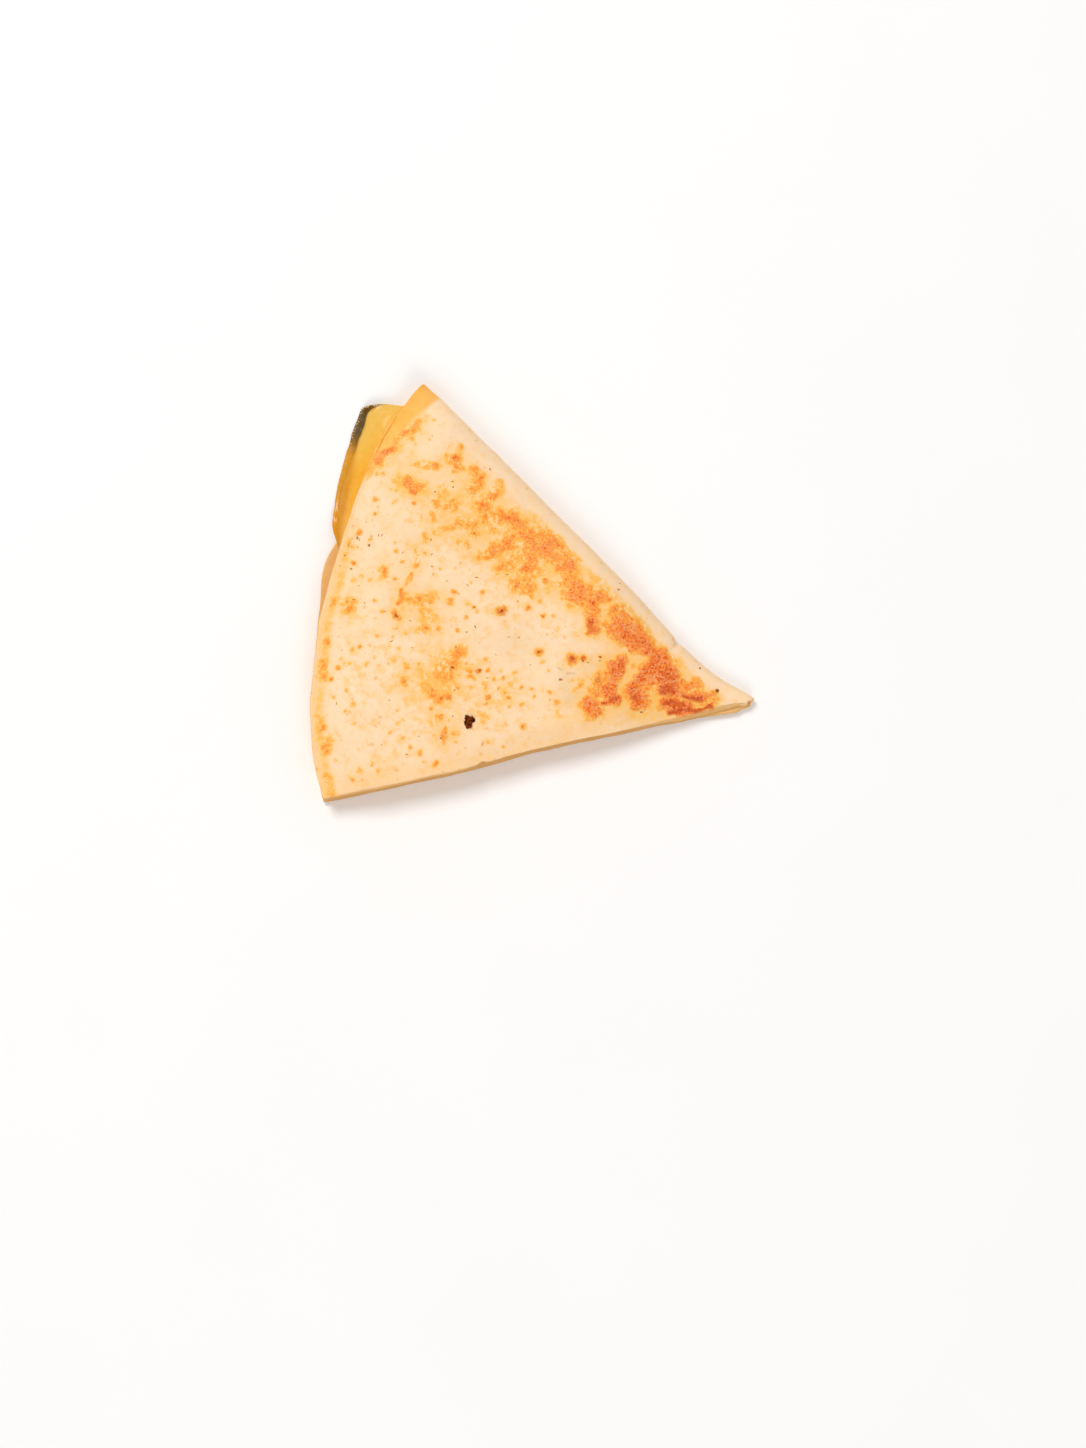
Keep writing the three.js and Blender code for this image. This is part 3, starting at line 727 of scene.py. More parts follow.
def marks_field(x, y, broad, small):
    """How strongly each point is toasted, and how much it glows beside a mark, from 0 to 1."""
    pale, dull = np.ones_like(x), np.ones_like(x)
    wx, wy = warped(x, y, 1.0)
    for back_1, over_1, back_2, over_2, half_width, strength in broad:
        gap = stroke_distance(wx, wy, from_plate(back_1, over_1), from_plate(back_2, over_2))
        fade = smooth(STROKE_FADE["edge"], STROKE_FADE["core"], gap / half_width)
        pale = pale * (1 - STROKE_FADE["most"] * strength * fade)
        beyond = np.maximum(0, gap - half_width) / STROKE_GLOW["reach"]
        shine = STROKE_GLOW["strength"] * strength ** STROKE_GLOW["power"]
        dull = dull * (1 - shine * np.exp(-beyond * beyond))
    wx, wy = warped(x, y, 0.5)
    for back, over, radius, strength in small:
        gap = place_distance(wx, wy, back, over) / radius
        fade = smooth(SPOT_FADE["edge"], 0.0, gap) ** SPOT_FADE["power"]
        pale = pale * (1 - min(SPOT_FADE["gain"] * strength, 1) * fade)
        halo = smooth(SPOT_GLOW["edge"], SPOT_GLOW["core"], gap)
        dull = dull * (1 - SPOT_GLOW["strength"] * strength * halo)
    return 1 - pale, 1 - dull


def specks_field(x, y, specks):
    dark = np.zeros_like(x)
    wx, wy = warped(x, y, 0.3)
    for back, over, radius in specks:
        gap = place_distance(wx, wy, back, over) / radius
        fade = smooth(SPECK_FADE["edge"], SPECK_FADE["core"], gap)
        dark = np.maximum(dark, SPECK_FADE["strength"] * fade)
    return dark


def rings_field(x, y, rings):
    brown = np.zeros_like(x)
    wx, wy = warped(x, y, 0.5)
    for back, over, radius, strength, hollow in rings:
        gap = place_distance(wx, wy, back, over)
        width = (0.7 - 0.5 * hollow) * radius
        brown = np.maximum(brown, strength * bell(gap, hollow * radius, width))
    return brown


def areas_field(x, y, areas):
    cool = np.ones_like(x)
    for back, over, radius, strength in areas:
        px, py = from_plate(back, over)
        cool = cool * (1 - strength * np.exp(-((x - px) ** 2 + (y - py) ** 2) / radius**2))
    return 1 - cool


def wrinkles_field(x, y, wrinkles):
    depth = np.zeros_like(x)
    wx, wy = warped(x, y, 0.3)
    for back_1, over_1, back_2, over_2 in wrinkles:
        gap = stroke_distance(wx, wy, from_plate(back_1, over_1), from_plate(back_2, over_2))
        depth = np.maximum(depth, smooth(WRINKLE_WIDTH, 0.0, gap))
    return depth


def angle_of(x, y):
    return np.degrees(np.arctan2(y, x)) % 360 - math.degrees(FOLD_HEADING)


skin_x, skin_y = outer_skin[..., 0].reshape(-1), outer_skin[..., 1].reshape(-1)
skin_u = np.broadcast_to(sheet_u, (rows, columns)).reshape(-1)
skin_angle = angle_of(skin_x, skin_y)
skin_from_rim = (sheet_rim - sheet_r).reshape(-1)
on_top = smooth(0.02, 0.16, skin_u)
skin_r = sheet_r.reshape(-1)
from_fold = column_across(skin_u, skin_r) + fold_out(skin_r)
from_cut = np.maximum(0, cut_line(skin_r, skin_u > 0) + fold_out(skin_r) - from_fold)
toast_top, glow_top = marks_field(skin_x, skin_y, BROAD_MARKS, SMALL_MARKS)
print("share of the top that is toasted:", round(float((toast_top[skin_u > 0] > 0.3).mean()), 2))

# %% [markdown]
# The underside was toasted in the same pan, a little darker, since it went in first. Its marks are
# scattered at random from fixed seeds, and so are the faintest ones of the upper side. The rim has
# marks of its own: a faint tan band that follows the curve, and an oily orange band beside the
# fold, where hot fat from the cheese has soaked in.

# %% Marks on the underside and along the rim
UNDER_BROAD = dict(seed=71, count=72, width=(1.4, 4.2), length=9.0)
UNDER_SMALL = dict(seed=72, count=170, width=(0.5, 1.2), length=1.0)
UNDER_DARK = dict(seed=73, count=34, width=(0.3, 0.7), length=1.0)
FAINT = dict(seed=74, count=90, width=(0.5, 1.3), length=1.0)
FAINT_STRENGTH = 0.28
SMALL_COLUMNS, SPECK_COLUMNS = [0, 1, 4, 5], [0, 1, 4]  # a small mark has no second end


def strewn_places(rng, count, shares, angles):
    """Random places on the plate, spread evenly over the wedge, as two arrays: back and over."""
    r = RADIUS * np.sqrt(rng.uniform(*shares, count))
    heading = FOLD_HEADING - PLATE_TURN + np.radians(rng.uniform(*angles, count))
    return -r * np.cos(heading), r * np.sin(heading)


def scattered_marks(seed, count, width, length):
    """Random strokes over the wedge, in rows like those of the broad marks."""
    rng = np.random.default_rng(seed)
    back, over = strewn_places(rng, count, (0.02, 1), (2, WEDGE_ANGLE - 1))
    turn, run = rng.uniform(0, 2 * math.pi, count), rng.uniform(0, length, count)
    half_width, strength = rng.uniform(*width, count), rng.uniform(0.35, 1.0, count)
    ends = back + run * np.cos(turn), over + run * np.sin(turn)
    return np.stack([back, over, *ends, half_width, strength], axis=1)


under_broad = scattered_marks(**UNDER_BROAD)
under_small = scattered_marks(**UNDER_SMALL)[:, SMALL_COLUMNS]
under_dark = scattered_marks(**UNDER_DARK)[:, SPECK_COLUMNS]
toast_under, glow_under = marks_field(skin_x, skin_y, under_broad, under_small)
on_under = smooth(-0.02, -0.16, skin_u)

faint = scattered_marks(**FAINT)[:, SMALL_COLUMNS] * [1, 1, 1, FAINT_STRENGTH]
toast_faint, glow_faint = marks_field(skin_x, skin_y, (), faint)
toast_top = 1 - (1 - toast_top) * (1 - toast_faint)
glow_top = 1 - (1 - glow_top) * (1 - glow_faint)
rim_band = bell(skin_from_rim, 2.4, 1.5) * smooth(17, 25, skin_angle)
glow_top = np.maximum(glow_top, rim_band * (0.9 + 0.3 * rough(skin_x, skin_y, 7.0, 81)))
along_rim = skin_angle * 2.0
spotty = smooth(-0.1, 0.6, rough(along_rim, skin_from_rim * 0.4, 3.2, 85))
rim_spots = rim_band * (0.14 + 0.34 * spotty)
toast_top = 1 - (1 - toast_top) * (1 - rim_spots)

FOLD_BAND = dict(at_tip=4.6, far=5.8, soft=2.6)
band = mix(FOLD_BAND["at_tip"], FOLD_BAND["far"], smooth(20, 70, skin_r))
plain = smooth(band, band - FOLD_BAND["soft"], from_fold)
toast_top = toast_top * (1 - smooth(band - 1, band - 1 - FOLD_BAND["soft"], from_fold))
glow_top = glow_top * (1 - plain)
# Painted shade: a darker band along the cut, where the top curves down away from the light.
tan = bell(from_cut, 0.3, 2.4) * smooth(28, 60, skin_r)
tan = tan * (0.75 + 0.4 * rough(skin_x, skin_y, 5.0, 87))
toast_skin = toast_top * on_top + toast_under * on_under
glow_skin = glow_top * on_top + glow_under * on_under
upper_half = skin_u > 0
char_skin = specks_field(skin_x, skin_y, DARK_SPECKS) * upper_half
char_skin = char_skin + specks_field(skin_x, skin_y, under_dark) * on_under
ring_skin = rings_field(skin_x, skin_y, RINGED_MARKS) * upper_half
scorch_skin, _ = marks_field(skin_x, skin_y, SCORCHED, ())
warm_skin = areas_field(skin_x, skin_y, WARM_AREAS) * on_top + 0.5 * on_under

OILY_BAND = dict(width=6.6, end_angle=15.5, line=0.3)
taper = 1 - np.clip(skin_angle / OILY_BAND["end_angle"], 0, 1)
band_width = OILY_BAND["width"] * taper**0.8 + 0.35 * bumps(skin_x, skin_y, 2.2, 83)
oily_band = smooth(1.15, 0.8, skin_from_rim / np.maximum(band_width, 0.3)) * smooth(0.02, 0.2, taper)
oily_band = oily_band * (0.85 + 0.15 * smooth(0, 7, skin_angle))
oily_line = OILY_BAND["line"] * bell(skin_from_rim, 0.4, 0.7)
oil_skin = np.maximum(oily_band, oily_line) * (skin_u > -0.1)
print("oily points:", int((oil_skin > 0.5).sum()))

# %% Carry the fields round the edge and store them
ring_share = (np.arange(1, EDGE_RINGS + 1) / EDGE_RINGS)[:, None]
inner_count = inner_index.size


def round_the_edge(on_skin, fades, inside):
    """The same field on all points: it fades down the edge, and is constant inside."""
    on_rings = on_skin[ring] * (1 - fades * ring_share) + inside * fades * ring_share
    return np.concatenate([on_skin, on_rings.reshape(-1), np.full(inner_count, inside)])


cut_wall = np.sin(math.pi * np.minimum(ring_share, 0.999)) ** 0.4
cut_wall = cut_wall * np.where(ring_on_rim | ring_on_tip, 0.25, 1.0)
smudge_skin = areas_field(skin_x, skin_y, SMUDGES) * on_top
crease_skin = wrinkles_field(skin_x, skin_y, WRINKLES) * on_top
for name, on_skin, fades, inside in (
    ("toast", toast_skin, 0.8, 0.0),
    ("glow", glow_skin, 0.6, 0.0),
    ("smudge", smudge_skin, 1.0, 0.0),
    ("crease", crease_skin, 1.0, 0.0),
    ("char", char_skin, 1.0, 0.0),
    ("plain", plain * on_top + (skin_u <= 0), 0.0, 0.0),
    ("tan", tan * on_top, 0.0, 0.0),
    ("ring", ring_skin, 1.0, 0.0),
    ("scorch", scorch_skin * on_top, 0.7, 0.0),
    ("warm", warm_skin, 0.5, 0.0),
    ("oil", oil_skin, 0.3, 0.2),
    ("inside", np.zeros(rows * columns), 1.0, 1.0),
):
    store(tortilla, name, round_the_edge(on_skin, fades, inside))
wall = np.concatenate([np.zeros(rows * columns), cut_wall.reshape(-1), np.zeros(inner_count)])
store(tortilla, "wall", wall)
print("fields stored:", [a.name for a in tortilla.data.attributes if a.data_type == "FLOAT"])

# %% [markdown]
# ## Node trees as Python
#
# A node tree reads best as arithmetic. `Value` wraps one output socket and turns Python's operators
# into Math nodes, and `Tree` makes every other node through one method. Both serve materials and
# Geometry Nodes alike. Colours are given as they look on a screen, from 0 to 255, and are changed
# to the linear numbers that a renderer works with.


# %% Helpers for node trees
def tone(*screen):
    """A colour for a socket, from red, green and blue as they look on a screen."""
    linear = [c / 255 / 12.92 if c <= 10 else ((c / 255 + 0.055) / 1.055) ** 2.4 for c in screen]
    return (*linear, 1.0)


class Value:
    """An output socket that can be used in an expression."""

    def __init__(self, tree, socket):
        self.tree, self.socket = tree, socket

    def math(self, operation, *others):
        inputs = dict(enumerate((self, *others)))
        return self.tree.node("ShaderNodeMath", {"operation": operation}, inputs)

    def __add__(self, other):
        return self.math("ADD", other)

    def __sub__(self, other):
        return self.math("SUBTRACT", other)

    def __rsub__(self, other):
        return self.tree.node("ShaderNodeMath", {"operation": "SUBTRACT"}, {0: other, 1: self})

    def __mul__(self, other):
        return self.math("MULTIPLY", other)

    def __truediv__(self, other):
        return self.math("DIVIDE", other)

    def __rtruediv__(self, other):
        return self.tree.node("ShaderNodeMath", {"operation": "DIVIDE"}, {0: other, 1: self})

    __radd__, __rmul__ = __add__, __mul__

    def step(self, start, end):
        """0 below start and 1 above end, with a smooth step between them."""
        settings = {"interpolation_type": "SMOOTHSTEP"}
        return self.tree.node("ShaderNodeMapRange", settings, {"Value": self, 1: start, 2: end})

    def clamp(self):
        return self.tree.node("ShaderNodeClamp", {}, {0: self})


class Tree:
    def __init__(self, node_tree):
        self.nodes, self.links = node_tree.nodes, node_tree.links

    def node(self, kind, settings=None, inputs=None, output=0):
        made = self.nodes.new(kind)
        for name, value in (settings or {}).items():
            if name == "stops":
                ramp = made.color_ramp
                while len(ramp.elements) < len(value):
                    ramp.elements.new(1.0)
                for element, (place, colour) in zip(ramp.elements, value):
                    element.position, element.color = place, colour
            else:
                setattr(made, name, value)
        for key, value in (inputs or {}).items():
            if isinstance(value, Value):
                self.links.new(value.socket, made.inputs[key])
            else:
                made.inputs[key].default_value = value
        return Value(self, made.outputs[output])

    def blend(self, share, a, b):
        """Mixes two colours."""
        settings = {"data_type": "RGBA", "blend_type": "MIX", "clamp_factor": True}
        return self.node("ShaderNodeMix", settings, {0: share, 6: a, 7: b}, 2)

    def field(self, name):
        return self.node("ShaderNodeAttribute", {"attribute_name": name}, {}, "Fac")

    def noise(self, place, size_mm, detail=2.0, roughness=0.5):
        inputs = {"Vector": place, "Scale": 1000 / size_mm, "Detail": detail, "Roughness": roughness}
        return self.node("ShaderNodeTexNoise", {}, inputs)

    def cells(self, place, size_mm, feature="F1"):
        inputs = {"Vector": place, "Scale": 1000 / size_mm}
        return self.node("ShaderNodeTexVoronoi", {"feature": feature}, inputs, "Distance")

    def scaled(self, vector, factor):
        inputs = {0: vector, "Scale": factor}
        return self.node("ShaderNodeVectorMath", {"operation": "SCALE"}, inputs)

    def bump(self, height, strength, distance):
        inputs = {"Strength": strength, "Distance": distance, "Height": height}
        return self.node("ShaderNodeBump", {}, inputs)

    def stored(self, name):
        """In Geometry Nodes, a number that the points carry."""
        settings = {"data_type": "FLOAT"}
        return self.node("GeometryNodeInputNamedAttribute", settings, {"Name": name})

    def feed(self, shader, **values):
        """Links values to the sockets of a shader."""
        for socket, value in values.items():
            self.links.new(value.socket, shader.inputs[socket.replace("_", " ")])


def new_material(name, **constants):
    """A material with its tree, its shader node and the place on the object."""
    material = bpy.data.materials.new(name)
    material.use_nodes = True
    tree = Tree(material.node_tree)
    shader = material.node_tree.nodes["Principled BSDF"]
    for socket, value in constants.items():
        shader.inputs[socket.replace("_", " ")].default_value = value
    place = tree.node("ShaderNodeTexCoord", {}, {}, "Object")
    return material, tree, shader, place


print("a middle grey of 128 is", round(tone(128, 128, 128)[0], 3), "in linear numbers")

# %% [markdown]
# ## The toasted tortilla's finish
#
# Flour dough bakes to a matt cream, a little yellower where fat has reached it. Where it touched
# the pan it browns through honey and orange to rust. Browning isn't even: the dough's skin has
# grains about a millimetre across, and each one takes the heat in its own way. So the material
# takes the broad strength of toasting from the map and lets fine grains push it up and down before
# a colour ramp reads it.

# %% Tortilla material
CREAM = dict(
    light=tone(254, 221, 181),
    pink=tone(250, 219, 188),
    mid=tone(253, 211, 161),
    warm=tone(254, 196, 110),
    # painted shade for the band along the cut
    tan=tone(250, 196, 122),
    freckle=tone(252, 184, 100),
)
GOLDEN, DOT_TONE, HERB_TONE = tone(255, 193, 104), tone(248, 164, 64), tone(212, 144, 54)
SMUDGE_GREY = tone(214, 192, 150)
TOAST_STOPS = (
    (0.00, tone(255, 206, 130)),
    (0.18, tone(254, 192, 98)),
    (0.38, tone(254, 172, 72)),
    (0.58, tone(252, 148, 58)),
    (0.80, tone(247, 124, 44)),
    (1.00, tone(222, 88, 20)),
)
OIL_TONE, OIL_LIGHT = tone(250, 172, 40), tone(252, 188, 78)
CRUMB_TONE, CRUMB_LIGHT = tone(232, 168, 92), tone(240, 188, 116)
# The peach tone is a painted highlight for the glossy toasted grains.
RUST, PEACH_HIGHLIGHT, RING_TONE = tone(196, 62, 6), tone(255, 188, 130), tone(200, 96, 26)
INSIDE_TONE, INSIDE_DARK = tone(240, 190, 122), tone(226, 172, 104)
# The crease tone is painted shade for the fine wrinkles.
CHAR_TONE, CREASE_SHADE = tone(150, 76, 20), tone(160, 108, 52)

DOUGH_BODY = dict(Subsurface_Weight=0.08, IOR=1.42, Specular_IOR_Level=0.25)
crust, tree, shader, place = new_material("toasted_dough", **DOUGH_BODY)
shader.inputs["Subsurface Radius"].default_value = (1.0, 0.55, 0.3)
shader.inputs["Subsurface Scale"].default_value = 0.0015

broad, mid, fine = tree.noise(place, 30), tree.noise(place, 6), tree.noise(place, 1.3, 3.0)
ragged = tree.noise(place, 3.0, 5.0, 0.6)
cream = tree.blend(mid.step(0.35, 0.65) * 0.4 + broad.step(0.3, 0.7) * 0.3, CREAM["light"], CREAM["mid"])
warm = tree.field("warm") * 0.9 + 0.02
quiet = 1.0 - tree.field("plain") * 0.7
cream = tree.blend(tree.noise(place, 2.2, 2.0).step(0.42, 0.62) * 0.5, cream, CREAM["pink"])
clouds = tree.noise(place, 1.5, 4.0, 0.6).step(0.47, 0.66) * (warm * 0.6 + 0.11) * quiet
cream = tree.blend(clouds, cream, CREAM["warm"])
cream = tree.blend((ragged + warm * 0.35).step(0.52, 0.82) * 0.8 * quiet, cream, CREAM["warm"])
# Painted shade along the cut, where the top curves down away from the light.
cream = tree.blend(tree.field("tan") * 0.55, cream, CREAM["tan"])
cream = tree.blend(tree.field("smudge") * (0.3 + ragged * 0.8), cream, SMUDGE_GREY)
wobble = tree.node("ShaderNodeTexNoise", {}, {"Vector": place, "Scale": 900.0}, 1)
wobble = tree.scaled(wobble, 0.0007)
uneven_place = tree.node("ShaderNodeVectorMath", {"operation": "ADD"}, {0: place, 1: wobble})


def dots(spacing, radius, share):
    """Little dots strewn over the dough: one in some of the cells of a plan, each its own size."""
    plan = {"voronoi_dimensions": "2D"}
    inputs = {"Vector": uneven_place, "Scale": 1000 / spacing}
    away = tree.node("ShaderNodeTexVoronoi", plan, inputs, "Distance") * spacing
    chance = tree.node("ShaderNodeTexVoronoi", plan, inputs, "Color")
    chance = tree.node("ShaderNodeSeparateColor", {}, {0: chance})
    own_radius = (chance - (1 - share)) * (radius / share)
    return 1.0 - (away / own_radius.math("MAXIMUM", 0.02)).step(0.3, 1.0)


dotted = dots(4.3, 0.85, 0.4) * 0.5
dotted = dotted.math("MAXIMUM", dots(2.7, 0.5, 0.3) * 0.4)
herb_dots = dots(6.1, 0.4, 0.3) * 0.65

freckle = tree.noise(place, 1.1, 1.5).step(0.62, 0.76) * mid.step(0.35, 0.6)
cream = tree.blend(freckle * 0.3 * quiet, cream, CREAM["freckle"])
cream = tree.blend(dotted * quiet, cream, DOT_TONE)
cream = tree.blend(herb_dots * quiet, cream, HERB_TONE)
oily = tree.blend(mid.step(0.3, 0.7), OIL_TONE, OIL_LIGHT)
cream = tree.blend(tree.field("oil"), cream, oily)
cream = tree.blend(tree.field("glow") * (0.1 + ragged * 1.3), cream, GOLDEN)

grain = tree.cells(place, 0.8, "SMOOTH_F1")
grain_2 = tree.noise(place, 0.62, 2.5, 0.6)
flecks = tree.noise(place, 1.5, 3.0, 0.65)
ridges = 1.0 - ((tree.noise(place, 1.25, 1.0) - 0.5).math("ABSOLUTE") * 11.0).clamp()
toast = tree.field("toast")
grains = (0.4 - grain) * 0.5 + (grain_2 - 0.5) * 1.8
touched = toast.step(0.02, 0.5)
patchy = (ragged - 0.5) * 1.1 + (flecks - 0.5) * 1.7 + dots(1.7, 0.5, 0.5) * 0.3 - 0.05
patchy = patchy * touched * (1.15 - toast)
level = toast * (0.74 + tree.noise(place, 4.5, 2.0) * 0.36)
level = (level + patchy + grains * toast.step(0.04, 0.6) * 0.7).clamp()
browned = tree.node("ShaderNodeValToRGB", {"stops": TOAST_STOPS}, {0: level}, "Color")
browned = tree.blend(tree.field("scorch") * (0.35 + flecks * 1.1), browned, RUST)
# Painted highlights: peach glints on the ridges of the toasted grains, where small glossy blisters catch
# the light.
glints = ridges * toast.step(0.4, 0.8) * flecks.step(0.36, 0.56) * (1.0 - tree.field("scorch") * 0.8)
browned = tree.blend(glints * 0.75, browned, PEACH_HIGHLIGHT)
skin = tree.blend(level.step(0.02, 0.2), cream, browned)
skin = tree.blend(tree.field("ring") * (0.5 + grain_2), skin, RING_TONE)
charred = (tree.field("char") * 1.3 - grain_2 * 0.5).step(0.15, 0.6) * 0.9
# Painted shade in the fine wrinkles, on top of their bump.
painted_crease_shade = tree.field("crease") * (grain_2 * 0.8 - 0.16).clamp()
skin = tree.blend(charred, skin, CHAR_TONE)
skin = tree.blend(painted_crease_shade, skin, CREASE_SHADE)
wall_field = tree.field("wall")
cut_crumb = tree.blend(fine.step(0.35, 0.65), CRUMB_TONE, CRUMB_LIGHT)
skin = tree.blend(wall_field * 0.9, skin, cut_crumb)
skin = tree.blend(tree.field("inside"), skin, tree.blend(mid, INSIDE_TONE, INSIDE_DARK))

dents = grain_2 * (0.35 + toast * 1.1) + fine * 0.4 + mid * 0.8
dents = dents + wall_field * fine * 1.5 - tree.field("crease")
relief = tree.bump(dents + level * 0.35, 0.55, 0.00035)
gloss = 0.62 - level * 0.14 - tree.field("oil") * 0.14 + (fine - 0.5) * 0.1
tree.feed(shader, Base_Color=skin, Roughness=gloss.clamp(), Normal=relief)
tortilla.data.materials.append(crust)
print("tortilla material:", len(crust.node_tree.nodes), "nodes")

# %% [markdown]
# ## Blisters, with Geometry Nodes
#
# The browned places are blisters: the dough puffed up there and touched the pan, and between them
# it stayed a little lower. That is a rule, so it is a node tree: each point of the skin moves in
# by a depth that depends on how little it is toasted, plus the dough's own gentle lumps. The
# inputs have names and sizes in metres, so that a cook could ask for a puffier tortilla.


# %% Helpers for Geometry Nodes
def new_geometry_tree(title, **inputs):
    """A geometry tree whose inputs are named, with the kind and the value of each one."""
    group = bpy.data.node_groups.new(title, "GeometryNodeTree")
    group.interface.new_socket("Geometry", in_out="INPUT", socket_type="NodeSocketGeometry")
    group.interface.new_socket("Geometry", in_out="OUTPUT", socket_type="NodeSocketGeometry")
    for label, (kind, _) in inputs.items():
        name, kind = label.replace("_", " "), "NodeSocket" + kind
        group.interface.new_socket(name, in_out="INPUT", socket_type=kind)
    tree = Tree(group)
    given = tree.nodes.new("NodeGroupInput")
    sockets = {label.replace(" ", "_"): Value(tree, s) for label, s in given.outputs.items()}
    return group, tree, sockets


def finish_tree(tree, geometry, material):
    """Every tree ends by making its instances real and by setting their material."""
    real = tree.node("GeometryNodeRealizeInstances", {}, {"Geometry": geometry})
    coated = tree.node("GeometryNodeSetMaterial", {}, {"Geometry": real, "Material": material})
    out = tree.nodes.new("NodeGroupOutput")
    tree.links.new(coated.socket, out.inputs["Geometry"])


def grow(made, group, **values):
    """Runs a geometry tree on an object and keeps the result as its plain mesh."""
    modifier = made.modifiers.new(group.name, "NODES")
    modifier.node_group = group
    for item in group.interface.items_tree:
        label = item.name.replace(" ", "_")
        if item.in_out == "INPUT" and label in values:
            modifier[item.identifier] = values[label][1]
    depsgraph = bpy.context.evaluated_depsgraph_get()
    grown = made.evaluated_get(depsgraph)
    keep = dict(preserve_all_data_layers=True, depsgraph=depsgraph)
    mesh = bpy.data.meshes.new_from_object(grown, **keep)
    made.modifiers.clear()
    finishes = [m for m in mesh.materials if m]
    if len(finishes) < len(mesh.materials):  # a mesh primitive brings an empty slot of its own
        mesh.materials.clear()
        mesh.materials.append(finishes[0])
        mesh.polygons.foreach_set("material_index", np.zeros(len(mesh.polygons), np.int32))
    made.data = mesh
    print(f"{made.name} after {group.name}: {len(mesh.vertices)} points, {len(mesh.polygons)} faces")


print("geometry helpers ready")

# %% Blister tree
BLISTERS = dict(
    Blister_Depth=("Float", 0.00022),
    Lump_Height=("Float", 0.00020),
    Lump_Size=("Float", 0.0060),
    Grain_Height=("Float", 0.00006),
    Grain_Size=("Float", 0.0016),
    Seed=("Float", 7.0),
)


def lumps(tree, size, amount, seed):
    spot = tree.node("GeometryNodeInputPosition")
    inputs = {"Vector": spot, "W": seed, "Scale": 1.0 / size, "Detail": 1.0}
    noise = tree.node("ShaderNodeTexNoise", {"noise_dimensions": "4D"}, inputs)
    return (noise - 0.5) * amount * 2.0


def lumps_and_grains(tree, given):
    """Two sizes of lumps, from a tree's own inputs."""
    coarse = lumps(tree, given["Lump_Size"], given["Lump_Height"], given["Seed"])
    fine = lumps(tree, given["Grain_Size"], given["Grain_Height"], given["Seed"] + 3.0)
    return coarse + fine


def moved_along_normals(tree, geometry, distance):
    shift = tree.scaled(tree.node("GeometryNodeInputNormal"), distance)
    return tree.node("GeometryNodeSetPosition", {}, {"Geometry": geometry, "Offset": shift})


group, tree, given = new_geometry_tree("dough_blisters", **BLISTERS)
low = (1.0 - tree.stored("toast").step(0.1, 0.7)) * given["Blister_Depth"]
skin_only = (1.0 - tree.stored("inside")).clamp() * (1.0 - tree.stored("wall") * 0.5)
move = lumps_and_grains(tree, given) - low
off_table = tree.node("GeometryNodeInputPosition")
height = tree.node("ShaderNodeSeparateXYZ", {}, {0: off_table}, "Z")
under = 1.0 - (height * 1000.0).step(0.2, 1.6)
move = (move * (1.0 - under) - low * under - under * 0.00005) * skin_only
finish_tree(tree, moved_along_normals(tree, given["Geometry"], move), crust)
grow(tortilla, group, **BLISTERS)

# %% [markdown]
# ## The melted cheese
#
# The cheese fills the whole space between the flaps, so its lining follows the sheet's inner side.
# It is made as closed loops, one behind the other, from the tip out to the rim. Each loop runs
# along the lower flap, round the fold, back along the upper flap, and down the cut, where the warm
# cheese bulges a little. Past the rim the loops go on as the tongue: it comes out from under the
# flap, settles in a rounded ridge, and ends in a thin film of fat and whey on the table.

# %% Sizes of the cheese
TOUCH = 0.05  # how far the cheese's lining sinks into the dough, so that no gap shows
CHEESE_START = 6.5
CUT_RECESS = 0.6  # how far the cheese keeps back from the foot of the upper flap's cut
CUT_STEP = 0.25  # how far the cheese steps out from the upper flap's cut edge to the lower flap
CHEESE_SETBACK = 1.0
RIM_BULGE = 0.75
RIM_OOZE = dict(out=0.45, size=2.6, sag=0.8)  # melted cheese doesn't end in a straight wall
TONGUE = dict(start=3.0, full=7.3, thins=20.5, end=25.0, reach=10.3, end_reach=5.2)
TONGUE_SHOULDER = dict(out=1.2, at=4.6, width=0.9)
TONGUE_DROOP = dict(start=0.6, end=5.4, margin=2.0)
TONGUE_RIDGE = dict(height=2.3, begins=0.72)
TONGUE_FILM = dict(along=1.3, width=2.6, at=8.5, spread=4.5, depth=0.5)
TONGUE_WAVER = 0.35
TONGUE_WAVES = dict(height=0.16, size=4.0)
FLAP_CLIMB = dict(height=0.2, reach=0.4, fades=0.9)  # the cheese clings to the flap's edge
RIDGE_FALL, FILM_FALL = 2.2, 0.8


def tongue_flow(angle):
    rise = smooth(TONGUE["start"], TONGUE["full"], angle)
    return rise * (1 - smooth(TONGUE["thins"], TONGUE["end"], angle))


def cheese_edge(angle):
    along = (angle - TONGUE["full"]) / (TONGUE["thins"] - TONGUE["full"])
    reach = mix(TONGUE["reach"], TONGUE["end_reach"], along)
    flow = tongue_flow(angle)
    waver = TONGUE_WAVER * rough(angle, 0, 1.9, 91) * flow
    waver = waver + RIM_OOZE["out"] * rough(angle, 0, RIM_OOZE["size"], 93) * (1 - flow)
    shoulder = TONGUE_SHOULDER["out"] * bell(angle, TONGUE_SHOULDER["at"], TONGUE_SHOULDER["width"])
    return upper_rim(angle) + mix(RIM_BULGE - CHEESE_SETBACK, reach, flow) + waver + shoulder


def tongue_droop(angle):
    """How far the tongue has sunk to the table, where it has cleared the lower flap."""

    def clear(a):
        past = cheese_edge(a) - lower_rim(a) - 0.3
        return smooth(TONGUE_DROOP["start"], TONGUE_DROOP["end"], past)

    margin = TONGUE_DROOP["margin"]
    around = clear(np.maximum(0, angle - margin)), clear(angle), clear(angle + margin)
    return np.minimum.reduce(around)


print("tongue's reach:", [round(float(cheese_edge(a) - upper_rim(a)), 1) for a in (3, 6, 9, 15, 21)])

# %% Line the flaps
CHEESE_COLUMNS = dict(fold=8, flap=124, crowding=1.4)
CHEESE_ROWS = 170

